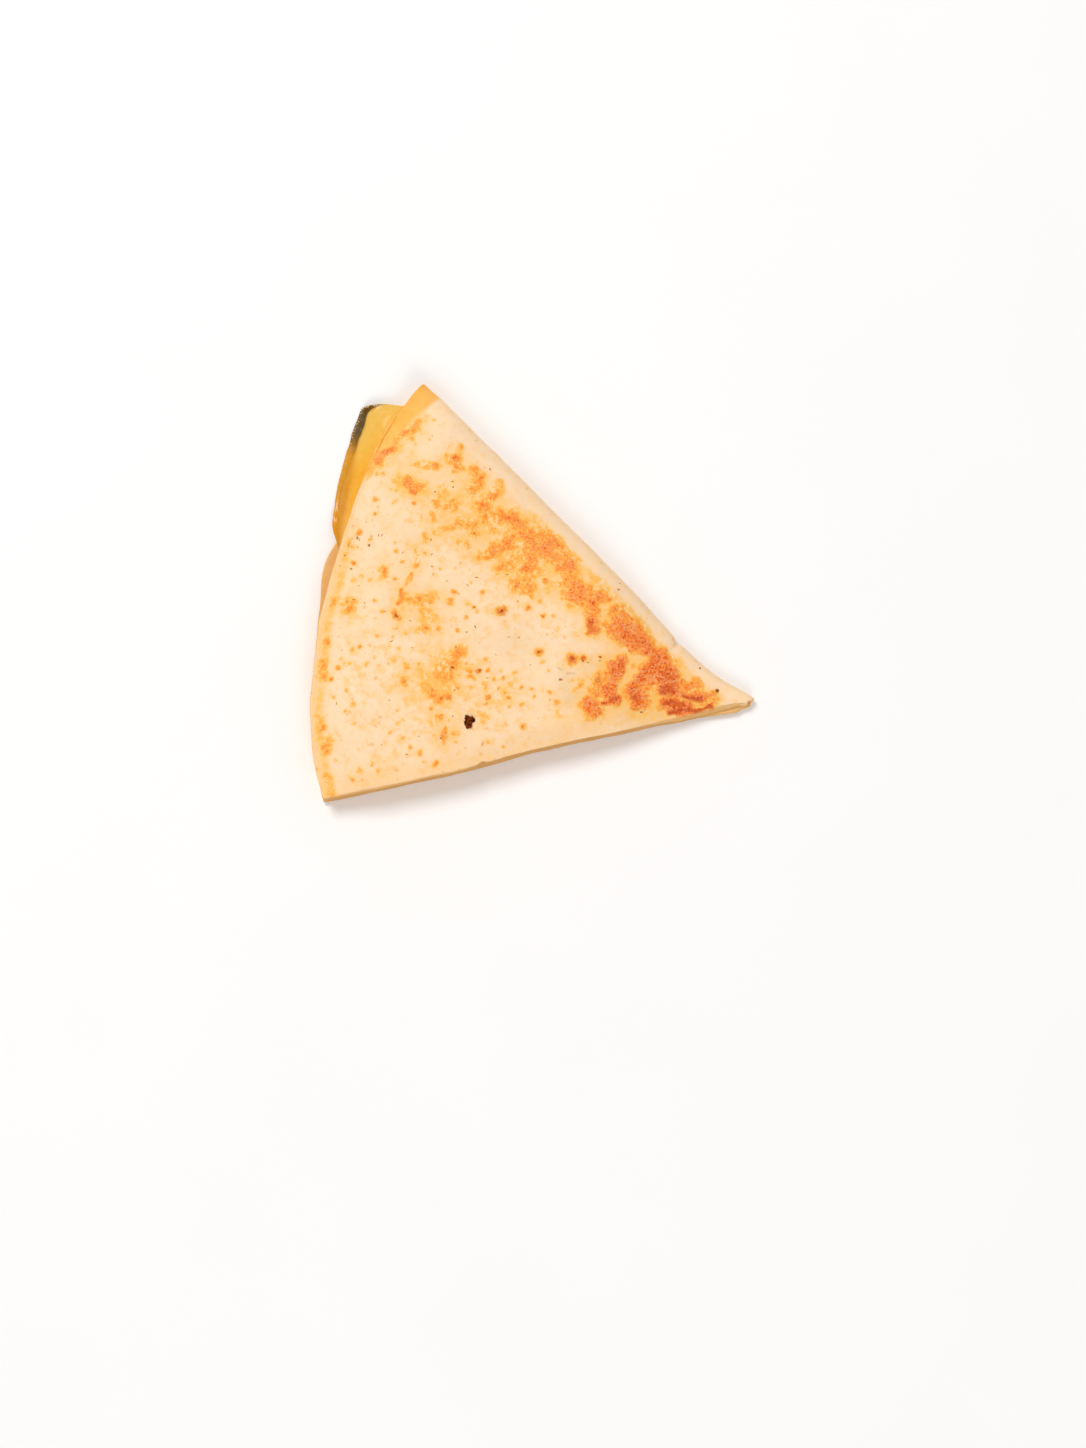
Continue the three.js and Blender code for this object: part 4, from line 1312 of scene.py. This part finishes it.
flap_steps = np.arange(1, CHEESE_COLUMNS["flap"] + 1) / CHEESE_COLUMNS["flap"]
flap_steps = flap_steps ** CHEESE_COLUMNS["crowding"]
fold_steps = np.arange(1, CHEESE_COLUMNS["fold"] + 1) / CHEESE_COLUMNS["fold"]
half_u = np.concatenate([FOLD_SHARE * fold_steps, FOLD_SHARE + (1 - FOLD_SHARE) * flap_steps])
cheese_u = np.concatenate([-half_u[::-1], [0], half_u])
cheese_angle = column_angle(cheese_u)
nearer_rim = np.minimum(upper_rim(cheese_angle), lower_rim(cheese_angle))
lining_rim = np.where(cheese_u < 0, nearer_rim, upper_rim(cheese_angle))
row_steps = 1 - (1 - np.arange(CHEESE_ROWS + 1) / CHEESE_ROWS) ** 1.2
lining_r = mix(CHEESE_START, lining_rim - CHEESE_SETBACK, row_steps[:, None])
cheese_cut = cut_line(lining_r, True) + cut_slant(lining_r) - CUT_RECESS
cheese_cut = cheese_cut + np.where(cheese_u < 0, CUT_STEP, 0.0)
lining = middle(cheese_u, lining_r, cheese_cut)
inset = thickness(lining_r, rim_radius(cheese_u))[..., None] / 2 - TOUCH
lining = lining - grid_normals(lining) * inset
print("lining:", lining.shape[0], "rows of", lining.shape[1], "columns")

# %% Run it out past the rim
RIM_RINGS = 26

start = lining[-1]
start_r = np.hypot(start[:, 0], start[:, 1])
heading = np.arctan2(start[:, 1], start[:, 0])
angle = np.maximum(0, angle_of(start[:, 0], start[:, 1]))
flow, droop, edge = tongue_flow(angle), tongue_droop(angle), cheese_edge(angle)
film_width = TONGUE_FILM["width"] * bell(angle, TONGUE_FILM["at"], TONGUE_FILM["spread"])
film_width = (film_width + TONGUE_FILM["along"] * smooth(10, 14, angle)) * flow + 0.05
body_end = edge - film_width
other_z = start[::-1, 2]
sag = RIM_OOZE["sag"] * rough(angle, 0, 3.4, 94) * smooth(1.5, 4.0, np.abs(start[:, 2] - other_z))
middle_z = (start[:, 2] + other_z) / 2 + sag
upper_side = np.sign(cheese_u)


def section(step):
    """The ring at this share of the way from the lining's end to the cheese's outer edge."""
    r = mix(start_r, edge, step)
    round_off = math.sqrt(max(0, 1 - step * step))
    closed = middle_z + (start[:, 2] - middle_z) * max(round_off, 0.03)
    way = (r - start_r) / (body_end - start_r)
    ridge = mix(start[:, 2], TONGUE_RIDGE["height"], smooth(0.1, 1, way))
    rim = upper_rim(angle)
    clings_to = rim + FLAP_CLIMB["reach"]
    away = np.maximum(0, r - rim - FLAP_CLIMB["reach"]) / FLAP_CLIMB["fades"]
    climb = FLAP_CLIMB["height"] * smooth(rim - 0.2, clings_to, r) * np.exp(-away)
    begins = TONGUE_RIDGE["begins"]
    down = np.clip((way - begins) / (1 - begins), 0, 1) ** RIDGE_FALL
    fall = np.sqrt(np.clip(1 - down, 0, 1))
    film = mix(other_z + 0.45, TONGUE_FILM["depth"], droop)
    past = np.clip((r - body_end) / film_width, 0, 1)
    film = mix(other_z * (1 - droop), film, np.sqrt(1 - FILM_FALL * past * past))
    x, y = r * np.cos(heading), r * np.sin(heading)
    waves = TONGUE_WAVES["height"] * rough(x, y, TONGUE_WAVES["size"], 95)
    waves = waves * smooth(rim + 0.5, rim + 2, r)
    top = film + np.maximum(0, ridge + climb + waves - film) * fall
    flap_end = lower_rim(angle) + 0.3
    low = start[:, 2] * (1 - droop * smooth(flap_end - 0.1, flap_end + 0.6, r)) + 0.03
    run_out = np.where(upper_side > 0, top, np.where(upper_side < 0, low, start[:, 2]))
    z = mix(closed, run_out, smooth(0, 0.3, flow))
    thin_edge = smooth(TONGUE["full"], TONGUE["thins"] - 6, angle)
    in_film = smooth(body_end - mix(0.3, 2.4, thin_edge), body_end + 0.5, r)
    fields = dict(
        film=in_film * smooth(0.1, 0.5, film_width) * flow,
        beside=np.exp(-np.maximum(0, r - rim) / 2.4) * flow,
        out=np.clip((r - rim) / np.maximum(edge - rim, 1), 0, 1) * flow,
        along=smooth(TONGUE["full"], TONGUE["thins"], angle) * smooth(rim - 0.5, rim + 1, r),
    )
    return np.stack([x, y, z], axis=1), fields


ring_steps = 1 - (1 - np.arange(1, RIM_RINGS + 1) / RIM_RINGS) ** 1.35
sections = [section(step) for step in ring_steps]
highest = max(points[:, 2].max() for points, _ in sections)
print("tongue:", RIM_RINGS, "rings, highest point", round(highest, 2), "mm")

# %% Close the loops down the cut
CUT_POINTS = 12
CUT_BULGE = dict(out=0.5, waver=0.9, size=3.2)

cut_share = (np.arange(1, CUT_POINTS + 1) / (CUT_POINTS + 1))[:, None]


def closed_loop(points):
    top_edge, low_edge = points[-1], points[0]
    down = mix(top_edge, low_edge, cut_share)
    reach = math.hypot(top_edge[0], top_edge[1])
    way_down = cut_share * 4 * abs(top_edge[2] - low_edge[2]) / 6
    waver = CUT_BULGE["waver"] * rough(reach, way_down, CUT_BULGE["size"], 97)
    deep = smooth(0.6, 4.0, top_edge[2] - low_edge[2])
    swells = np.sin(math.pi * cut_share) * (CUT_BULGE["out"] + waver)
    return np.concatenate([points, down + ACROSS * swells * deep])


loops = [closed_loop(points) for points in lining] + [closed_loop(points) for points, _ in sections]
loop_length = len(loops[0])
loop_index = np.arange(len(loops) * loop_length).reshape(len(loops), loop_length)
cheese_faces = []
for one, two in zip(loop_index[:-1], loop_index[1:]):
    cheese_faces += ring_band(one, two)

half = len(half_u)
for line, flip in ((loop_index[0], True), (loop_index[-1], False)):
    upper, lower = line[half : 2 * half + 1], line[half::-1]
    cut_run = line[2 * half + 1 :]
    faces = [(int(upper[0]), int(upper[1]), int(lower[1]))] + strip(lower[1:], upper[1:])
    faces.append([int(upper[-1]), *(int(i) for i in cut_run), int(lower[-1])])
    if not flip:
        faces = [face[::-1] for face in faces]
    cheese_faces += faces
cheese = make_object("melted_cheese_filling", np.concatenate(loops), cheese_faces)

blank = np.zeros((len(lining), loop_length))
cut_face, free = np.zeros((len(loops), loop_length)), np.ones((len(loops), loop_length))
cut_face[:, len(cheese_u) :] = 1
free[: len(lining), : len(cheese_u)] = 0
free[:, 1 : half + 1] = 0
store(cheese, "cut_face", cut_face.reshape(-1))
store(cheese, "free", free.reshape(-1))
for name in ("film", "beside", "out", "along"):
    on_rings = np.zeros((len(sections), loop_length))
    on_rings[:, : len(cheese_u)] = [fields[name] for _, fields in sections]
    store(cheese, name, np.concatenate([blank, on_rings]).reshape(-1))

# %% [markdown]
# ## The cheese's finish
#
# Melted cheese is glossy, and light goes into it a little way before it comes out again. It is a
# clear yellow where it is thick, orange where fat gathers against the tortilla, and pale where it
# has begun to set. The film at its edge is so thin that it is nearly a dark oil. These four parts
# come from the fields that the tongue's rings carry. A field of its own marks the face that the
# knife has cut, where the streaks are stronger. Small bubbles dot the cheese, but not where it runs
# out beside the flap.

# %% Cheese material
CHEESE_TONES = dict(
    body=tone(244, 180, 62),
    pale=tone(234, 188, 84),
    mid=tone(244, 178, 42),
    rich=tone(246, 168, 30),
    deep=tone(206, 130, 4),
    cut=tone(240, 164, 44),
    film=tone(92, 66, 2),
    amber=tone(218, 146, 0),
    light_streak=tone(250, 204, 104),
    dark_streak=tone(232, 150, 34),
    soft=tone(248, 196, 84),
    cut_light=tone(251, 192, 84),
    bubble=tone(222, 138, 26),
)
CHEESE_BODY = dict(Subsurface_Weight=0.25, Coat_Roughness=0.12, IOR=1.45, Specular_IOR_Level=0.3)
melted, tree, shader, place = new_material("melted_cheese", **CHEESE_BODY)
shader.inputs["Subsurface Radius"].default_value = (1.0, 0.6, 0.2)
shader.inputs["Subsurface Scale"].default_value = 0.002

soft, fine = tree.noise(place, 9, 2.0), tree.noise(place, 1.6, 3.0)
cheese_skin = tree.blend(tree.field("along").step(0.0, 0.5), CHEESE_TONES["pale"], CHEESE_TONES["mid"])
cheese_skin = tree.blend(tree.field("out").step(0.0, 0.12), CHEESE_TONES["body"], cheese_skin)
drawn_out = {0: place, 1: (0.7, 1.0, 1.5)}
streaks = tree.noise(tree.node("ShaderNodeVectorMath", {"operation": "MULTIPLY"}, drawn_out), 4.2, 3.0)
light, dark = streaks.step(0.5, 0.7) * 0.35, (1.0 - streaks).step(0.52, 0.7) * 0.3
cheese_skin = tree.blend(light, cheese_skin, CHEESE_TONES["light_streak"])
cheese_skin = tree.blend(dark, cheese_skin, CHEESE_TONES["dark_streak"])
far_out = (tree.field("along") * tree.field("out")).step(0.06, 0.5)
cheese_skin = tree.blend(far_out, cheese_skin, CHEESE_TONES["deep"])
cheese_skin = tree.blend(tree.field("beside"), cheese_skin, CHEESE_TONES["rich"])
cheese_skin = tree.blend(soft.step(0.4, 0.7) * 0.2, cheese_skin, CHEESE_TONES["soft"])
cut_tone = tree.blend(streaks.step(0.4, 0.68), CHEESE_TONES["cut"], CHEESE_TONES["cut_light"])
cheese_skin = tree.blend(tree.field("cut_face") * (0.5 + fine * 0.6), cheese_skin, cut_tone)
bubbles = 1.0 - tree.cells(place, 2.6).step(0.1, 0.34)
bubbles = bubbles * tree.noise(place, 5.0).step(0.48, 0.6) * (1.0 - tree.field("beside").step(0.0, 0.05))
cheese_skin = tree.blend(bubbles * 0.5, cheese_skin, CHEESE_TONES["bubble"])
along_film = tree.field("along").step(0.05, 0.35)
film_skin = tree.blend(along_film, CHEESE_TONES["film"], CHEESE_TONES["amber"])
cheese_skin = tree.blend(tree.field("film").step(0.0, 0.9), cheese_skin, film_skin)
gloss = (0.34 + (fine - 0.5) * 0.16 - tree.field("film") * 0.08).clamp()
coat = (0.06 + tree.field("film") * 0.12).clamp()
relief = tree.bump(soft * 1.2 + fine * 0.5 - bubbles * 0.9, 0.45, 0.0004)
tree.feed(shader, Base_Color=cheese_skin, Roughness=gloss, Coat_Weight=coat, Normal=relief)
cheese.data.materials.append(melted)
print("cheese material:", len(melted.node_tree.nodes), "nodes")

# %% [markdown]
# ## Lumps in the cheese
#
# Grated cheese melts without ever getting quite smooth. The two sizes of lumps that rough up the
# dough serve here too, higher and closer together. They could be bump in the finish alone, but then
# the cut would look smooth from the side. Only the cheese's free faces move: its lining keeps its
# place against the dough, and the thin film stays still.

# %% Cheese lumps
CHEESE_LUMPS = dict(
    Lump_Height=("Float", 0.00034),
    Lump_Size=("Float", 0.0030),
    Grain_Height=("Float", 0.00012),
    Grain_Size=("Float", 0.0014),
    Seed=("Float", 12.0),
)
group, tree, given = new_geometry_tree("cheese_lumps", **CHEESE_LUMPS)
move = lumps_and_grains(tree, given) * tree.stored("free") * (1.0 - tree.stored("film"))
finish_tree(tree, moved_along_normals(tree, given["Geometry"], move), melted)
grow(cheese, group, **CHEESE_LUMPS)

# %% [markdown]
# ## Specks and the burnt crumb
#
# Flour and tiny crumbs in the pan burn black and stick to the dough. Each one is a small uneven
# lump, pressed half into the skin. There are many of them, so a node tree puts them there: it
# stands a small sphere on each point of a cloud, scales and turns it by fixed random numbers, and
# crumples it with noise. The same tree makes the one larger crumb near the cut, from a cluster of
# five lumps that run into one another, with a darker crust of its own.

# %% Points of the specks
SPECK_SIZE = 0.8  # a lump's share of the dark spot round it
finished = np.empty(3 * len(tortilla.data.vertices))
tortilla.data.vertices.foreach_get("co", finished)
finished = finished.reshape(-1, 3)[: rows * columns] / MM - [TIP_AT[0], TIP_AT[1], 0]
top_points = finished[skin_u > FOLD_SHARE * 0.2]


def on_the_skin(back, over):
    """The point of the upper skin at a place on the plate."""
    x, y = from_plate(back, over)
    return top_points[np.argmin(np.hypot(top_points[:, 0] - x, top_points[:, 1] - y))]


speck_places = np.array([on_the_skin(back, over) for back, over, _ in DARK_SPECKS])
speck_sizes = np.array([radius for *_, radius in DARK_SPECKS]) * SPECK_SIZE
crumb_place = on_the_skin(CHAR_CRUMB["back"], CHAR_CRUMB["over"])
print("specks:", len(speck_places), "crumb at", np.round(crumb_place, 1))

# %% Speck tree
SPECKS = dict(
    Length=("Float", 1.0),
    Width=("Float", 1.0),
    Flatness=("Float", 0.3),
    Crumple=("Float", 0.16),
    Seed=("Int", 5),
)
CRUMPLES_PER_METRE = 2600.0


def speck_tree(name, material):
    group, tree, given = new_geometry_tree(name, **SPECKS)

    def random(low, high, shift):
        inputs = {2: low, 3: high, "Seed": given["Seed"] + float(shift)}
        return tree.node("FunctionNodeRandomValue", {"data_type": "FLOAT"}, inputs, 1)

    def vector(x, y, z):
        return tree.node("ShaderNodeCombineXYZ", {}, {0: x, 1: y, 2: z})

    ball = tree.node("GeometryNodeMeshIcoSphere", {}, {"Radius": 1.0, "Subdivisions": 3})
    spin = vector(random(-0.3, 0.3, 1), random(-0.3, 0.3, 2), random(0.0, 6.28, 3))
    size = tree.stored("size")
    long, wide = given["Length"] * random(0.8, 1.4, 4), given["Width"] * random(0.6, 1.0, 5)
    shape = vector(size * long, size * wide, size * given["Flatness"])
    inputs = {"Points": given["Geometry"], "Instance": ball, "Rotation": spin, "Scale": shape}
    strewn = tree.node("GeometryNodeInstanceOnPoints", {}, inputs)
    standing = tree.node("GeometryNodeRealizeInstances", {}, {"Geometry": strewn})
    inputs = {"Vector": tree.node("GeometryNodeInputPosition"), "Scale": CRUMPLES_PER_METRE}
    crumples = tree.node("ShaderNodeTexNoise", {}, inputs, 1)
    centred = {0: crumples, 1: (0.5, 0.5, 0.5)}
    push = tree.node("ShaderNodeVectorMath", {"operation": "SUBTRACT"}, centred)
    push = tree.scaled(push, given["Crumple"] * size * 4.0)
    uneven = tree.node("GeometryNodeSetPosition", {}, {"Geometry": standing, "Offset": push})
    smoothed = tree.node("GeometryNodeSetShadeSmooth", {}, {"Geometry": uneven})
    finish_tree(tree, smoothed, material)
    return group


def point_cloud(name, places_mm, sizes_mm, material):
    made = make_object(name, places_mm, [])
    made.data.materials.append(material)
    store(made, "size", np.asarray(sizes_mm) * MM)
    return made


char, tree, shader, place = new_material("burnt_flour", Roughness=0.9, Specular_IOR_Level=0.0)
ash = tree.noise(place, 0.8, 3.0)
burnt = tree.blend(ash.step(0.35, 0.7), tone(136, 56, 6), tone(190, 104, 30))
tree.feed(shader, Base_Color=burnt, Normal=tree.bump(ash, 0.6, 0.0002))

specks = point_cloud("burnt_specks", speck_places, speck_sizes, char)
grow(specks, speck_tree("speck_scatter", char), **SPECKS)

# %% [markdown]
# ## Flecks of dried herb
#
# The dough has tiny flecks of dried herb baked into it. A fleck is a thin flake, longer than it is
# wide, so the speck tree serves again with other sizes. Most flecks stand where they were read, and
# a few more are strewn by a fixed seed, so that no part of the skin looks empty.

# %% Strew the flecks
HERBS_STREWN, HERB_SEED = 14, 19
HERB_SIZES = (0.16, 0.28)

rng = np.random.default_rng(HERB_SEED)
strewn = zip(*strewn_places(rng, HERBS_STREWN, (0.1, 0.95), (8, WEDGE_ANGLE - 3)))
herb_places = [on_the_skin(back, over) for back, over in (*HERB_FLECKS, *strewn)]
dried_herb, tree, shader, place = new_material("dried_herb", Roughness=0.8, Specular_IOR_Level=0.1)
leaf = tree.blend(tree.noise(place, 1.2).step(0.4, 0.6), tone(186, 116, 20), tone(220, 150, 44))
tree.feed(shader, Base_Color=leaf)
herb_sizes = rng.uniform(*HERB_SIZES, len(herb_places))
herb_flecks = point_cloud("dried_herb_flecks", herb_places, herb_sizes, dried_herb)
LEAF = SPECKS | dict(
    Length=("Float", 1.9),
    Width=("Float", 0.7),
    Crumple=("Float", 0.1),
    Seed=("Int", 21),
)
grow(herb_flecks, speck_tree("herb_scatter", dried_herb), **LEAF)

# %% The burnt crumb
# along x and y from the crumb's middle, and size
CRUMB_LUMPS = (
    (0.0, 0.0, 1.15),
    (0.75, 0.9, 0.85),
    (-0.65, 0.75, 0.8),
    (0.25, -1.05, 0.75),
    (0.85, -0.5, 0.6),
)
CRUMB_LIFT = 0.15
crumb_places = [crumb_place + [dx, dy, CRUMB_LIFT] for dx, dy, _ in CRUMB_LUMPS]
crumb_crust, tree, shader, place = new_material("burnt_crumb_crust", Roughness=0.8, Specular_IOR_Level=0.1)
soot = tree.blend(tree.noise(place, 0.9, 3.0).step(0.35, 0.7), tone(66, 18, 0), tone(150, 66, 12))
tree.feed(shader, Base_Color=soot)
crumb = point_cloud("burnt_crumb", crumb_places, [size for *_, size in CRUMB_LUMPS], crumb_crust)
CRUMB = SPECKS | dict(Flatness=("Float", 0.22), Crumple=("Float", 0.5), Seed=("Int", 9))
grow(crumb, speck_tree("crumb_lumps", crumb_crust), **CRUMB)

# %% [markdown]
# ## Beads of fat
#
# Where the film ends, the fat draws itself up into tiny beads that catch the light. They follow the
# tongue's outer edge, so a cloud of points is laid along it and the same kind of tree stands a
# flattened glassy bead on each.

# %% Beads along the film
BEADS = dict(count=70, seed=33, from_angle=4.5, to_angle=17, scatter=0.12, sizes=(0.08, 0.24))

edge_ring = sections[-3][0]
wet = (upper_side > 0) & (angle > BEADS["from_angle"]) & (angle < BEADS["to_angle"])
wet_edge = edge_ring[wet]
rng = np.random.default_rng(BEADS["seed"])
pick = rng.integers(0, len(wet_edge), BEADS["count"])
bead_places = wet_edge[pick] + rng.normal(0, BEADS["scatter"], (BEADS["count"], 3)) * [1, 1, 0]
bead_sizes = rng.uniform(*BEADS["sizes"], BEADS["count"])
clear_fat, tree, shader, place = new_material("clear_fat", Roughness=0.08, IOR=1.46, Coat_Weight=0.6)
glow = tree.blend(tree.noise(place, 3), tone(214, 176, 92), tone(238, 206, 128))
tree.feed(shader, Base_Color=glow)
beads = point_cloud("fat_beads", bead_places, bead_sizes, clear_fat)
BEAD = SPECKS | dict(Flatness=("Float", 0.8), Crumple=("Float", 0.0), Seed=("Int", 3))
grow(beads, speck_tree("bead_row", clear_fat), **BEAD)

# %% [markdown]
# ## Tying the pieces to the part
#
# Each piece rides on the part's only body. The dough and the cheese replace the imported model's
# plain nodes. Each piece is listed beside a slot name, which the loop doesn't use.

# %% Ride and replace
for piece, slot in (
    (tortilla, "toasted_tortilla"),
    (cheese, "cheese"),
    (specks, "toasted_tortilla"),
    (crumb, "toasted_tortilla"),
    (herb_flecks, "toasted_tortilla"),
    (beads, "cheese"),
):
    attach(piece, "root")
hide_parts("folded_tortilla")
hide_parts("melted_cheese")
print("pieces:", [p.name for p in (tortilla, cheese, specks, crumb, herb_flecks, beads)])

# %% [markdown]
# ## Table, light and camera
#
# The wedge lies on a plain pale table. A broad soft light stands over its upper left, a weaker one
# fills the other side, and the world gives an even grey-white, as in a small studio. The camera
# looks straight down, turned so that the tip points to the lower right.

# %% Table
bpy.ops.mesh.primitive_plane_add(size=4.0, location=(0, 0, 0))
table = bpy.context.object
table.name = "pale_table"
table.data.transform(Matrix.Translation((0, 0, -0.0001)))
paper, tree, shader, place = new_material("pale_paper", Roughness=0.9)
faint = tree.blend(tree.noise(place, 60, 3.0), tone(250, 249, 249), tone(253, 252, 252))
tree.feed(shader, Base_Color=faint)
table.data.materials.append(paper)
table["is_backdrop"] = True
print("table:", table.name)


# %% Lights
def soft_light(name, place, size, watts, colour):
    lamp = bpy.data.lights.new(name, "AREA")
    lamp.shape, lamp.size, lamp.energy, lamp.color = "DISK", size, watts, colour
    made = bpy.data.objects.new(name, lamp)
    made.location = place
    made.rotation_euler = (-Vector(place)).to_track_quat("-Z", "Y").to_euler()
    bpy.context.scene.collection.objects.link(made)
    return made


key = soft_light("key_light", (-0.85, 0.75, 1.6), 0.8, 20.0, (1.0, 0.985, 0.96))
fill = soft_light("fill_light", (0.6, -1.3, 1.2), 1.0, 9.0, (1.0, 0.99, 0.98))

world = bpy.data.worlds.new("studio")
bpy.context.scene.world = world
world.use_nodes = True
sky = world.node_tree.nodes["Background"]
sky.inputs["Color"].default_value = (1.0, 0.995, 0.99, 1.0)
sky.inputs["Strength"].default_value = 0.47
bpy.context.scene.view_settings.view_transform = "Standard"
bpy.context.scene.view_settings.look = "None"
print("lights:", key.name, fill.name)

# %% Camera
CAMERA_HEIGHT = 0.7
CAMERA_OVER = (0.00941, -0.02192)
CAMERA_UP = Vector((-0.284, 0.959, 0)).normalized()
SENSOR, FOCAL_LENGTH = 36.0, 61.16

lens = bpy.data.cameras.new("camera")
lens.sensor_fit, lens.sensor_width, lens.lens = "AUTO", SENSOR, FOCAL_LENGTH
lens.clip_start, lens.clip_end = 0.01, 10.0
camera = bpy.data.objects.new("camera", lens)
bpy.context.scene.collection.objects.link(camera)
right = CAMERA_UP.cross(Vector((0, 0, 1)))
turn = Matrix((right, CAMERA_UP, (0, 0, 1))).transposed().to_4x4()
camera.matrix_world = Matrix.Translation((*CAMERA_OVER, CAMERA_HEIGHT)) @ turn
bpy.context.scene.camera = camera
print("camera stands", CAMERA_HEIGHT, "m over the table")

# %% [markdown]
# ## The two sizes
#
# The imported part's box and the dressed wedge's box are both printed. The dressed wedge has
# to keep the imported part's size.

# %% Print both boxes and finish
visual_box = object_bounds()
for label, box in (("packed", CAD_BOX), ("dressed", visual_box)):
    print(label, [[round(v * 1000, 1) for v in corner] for corner in box])
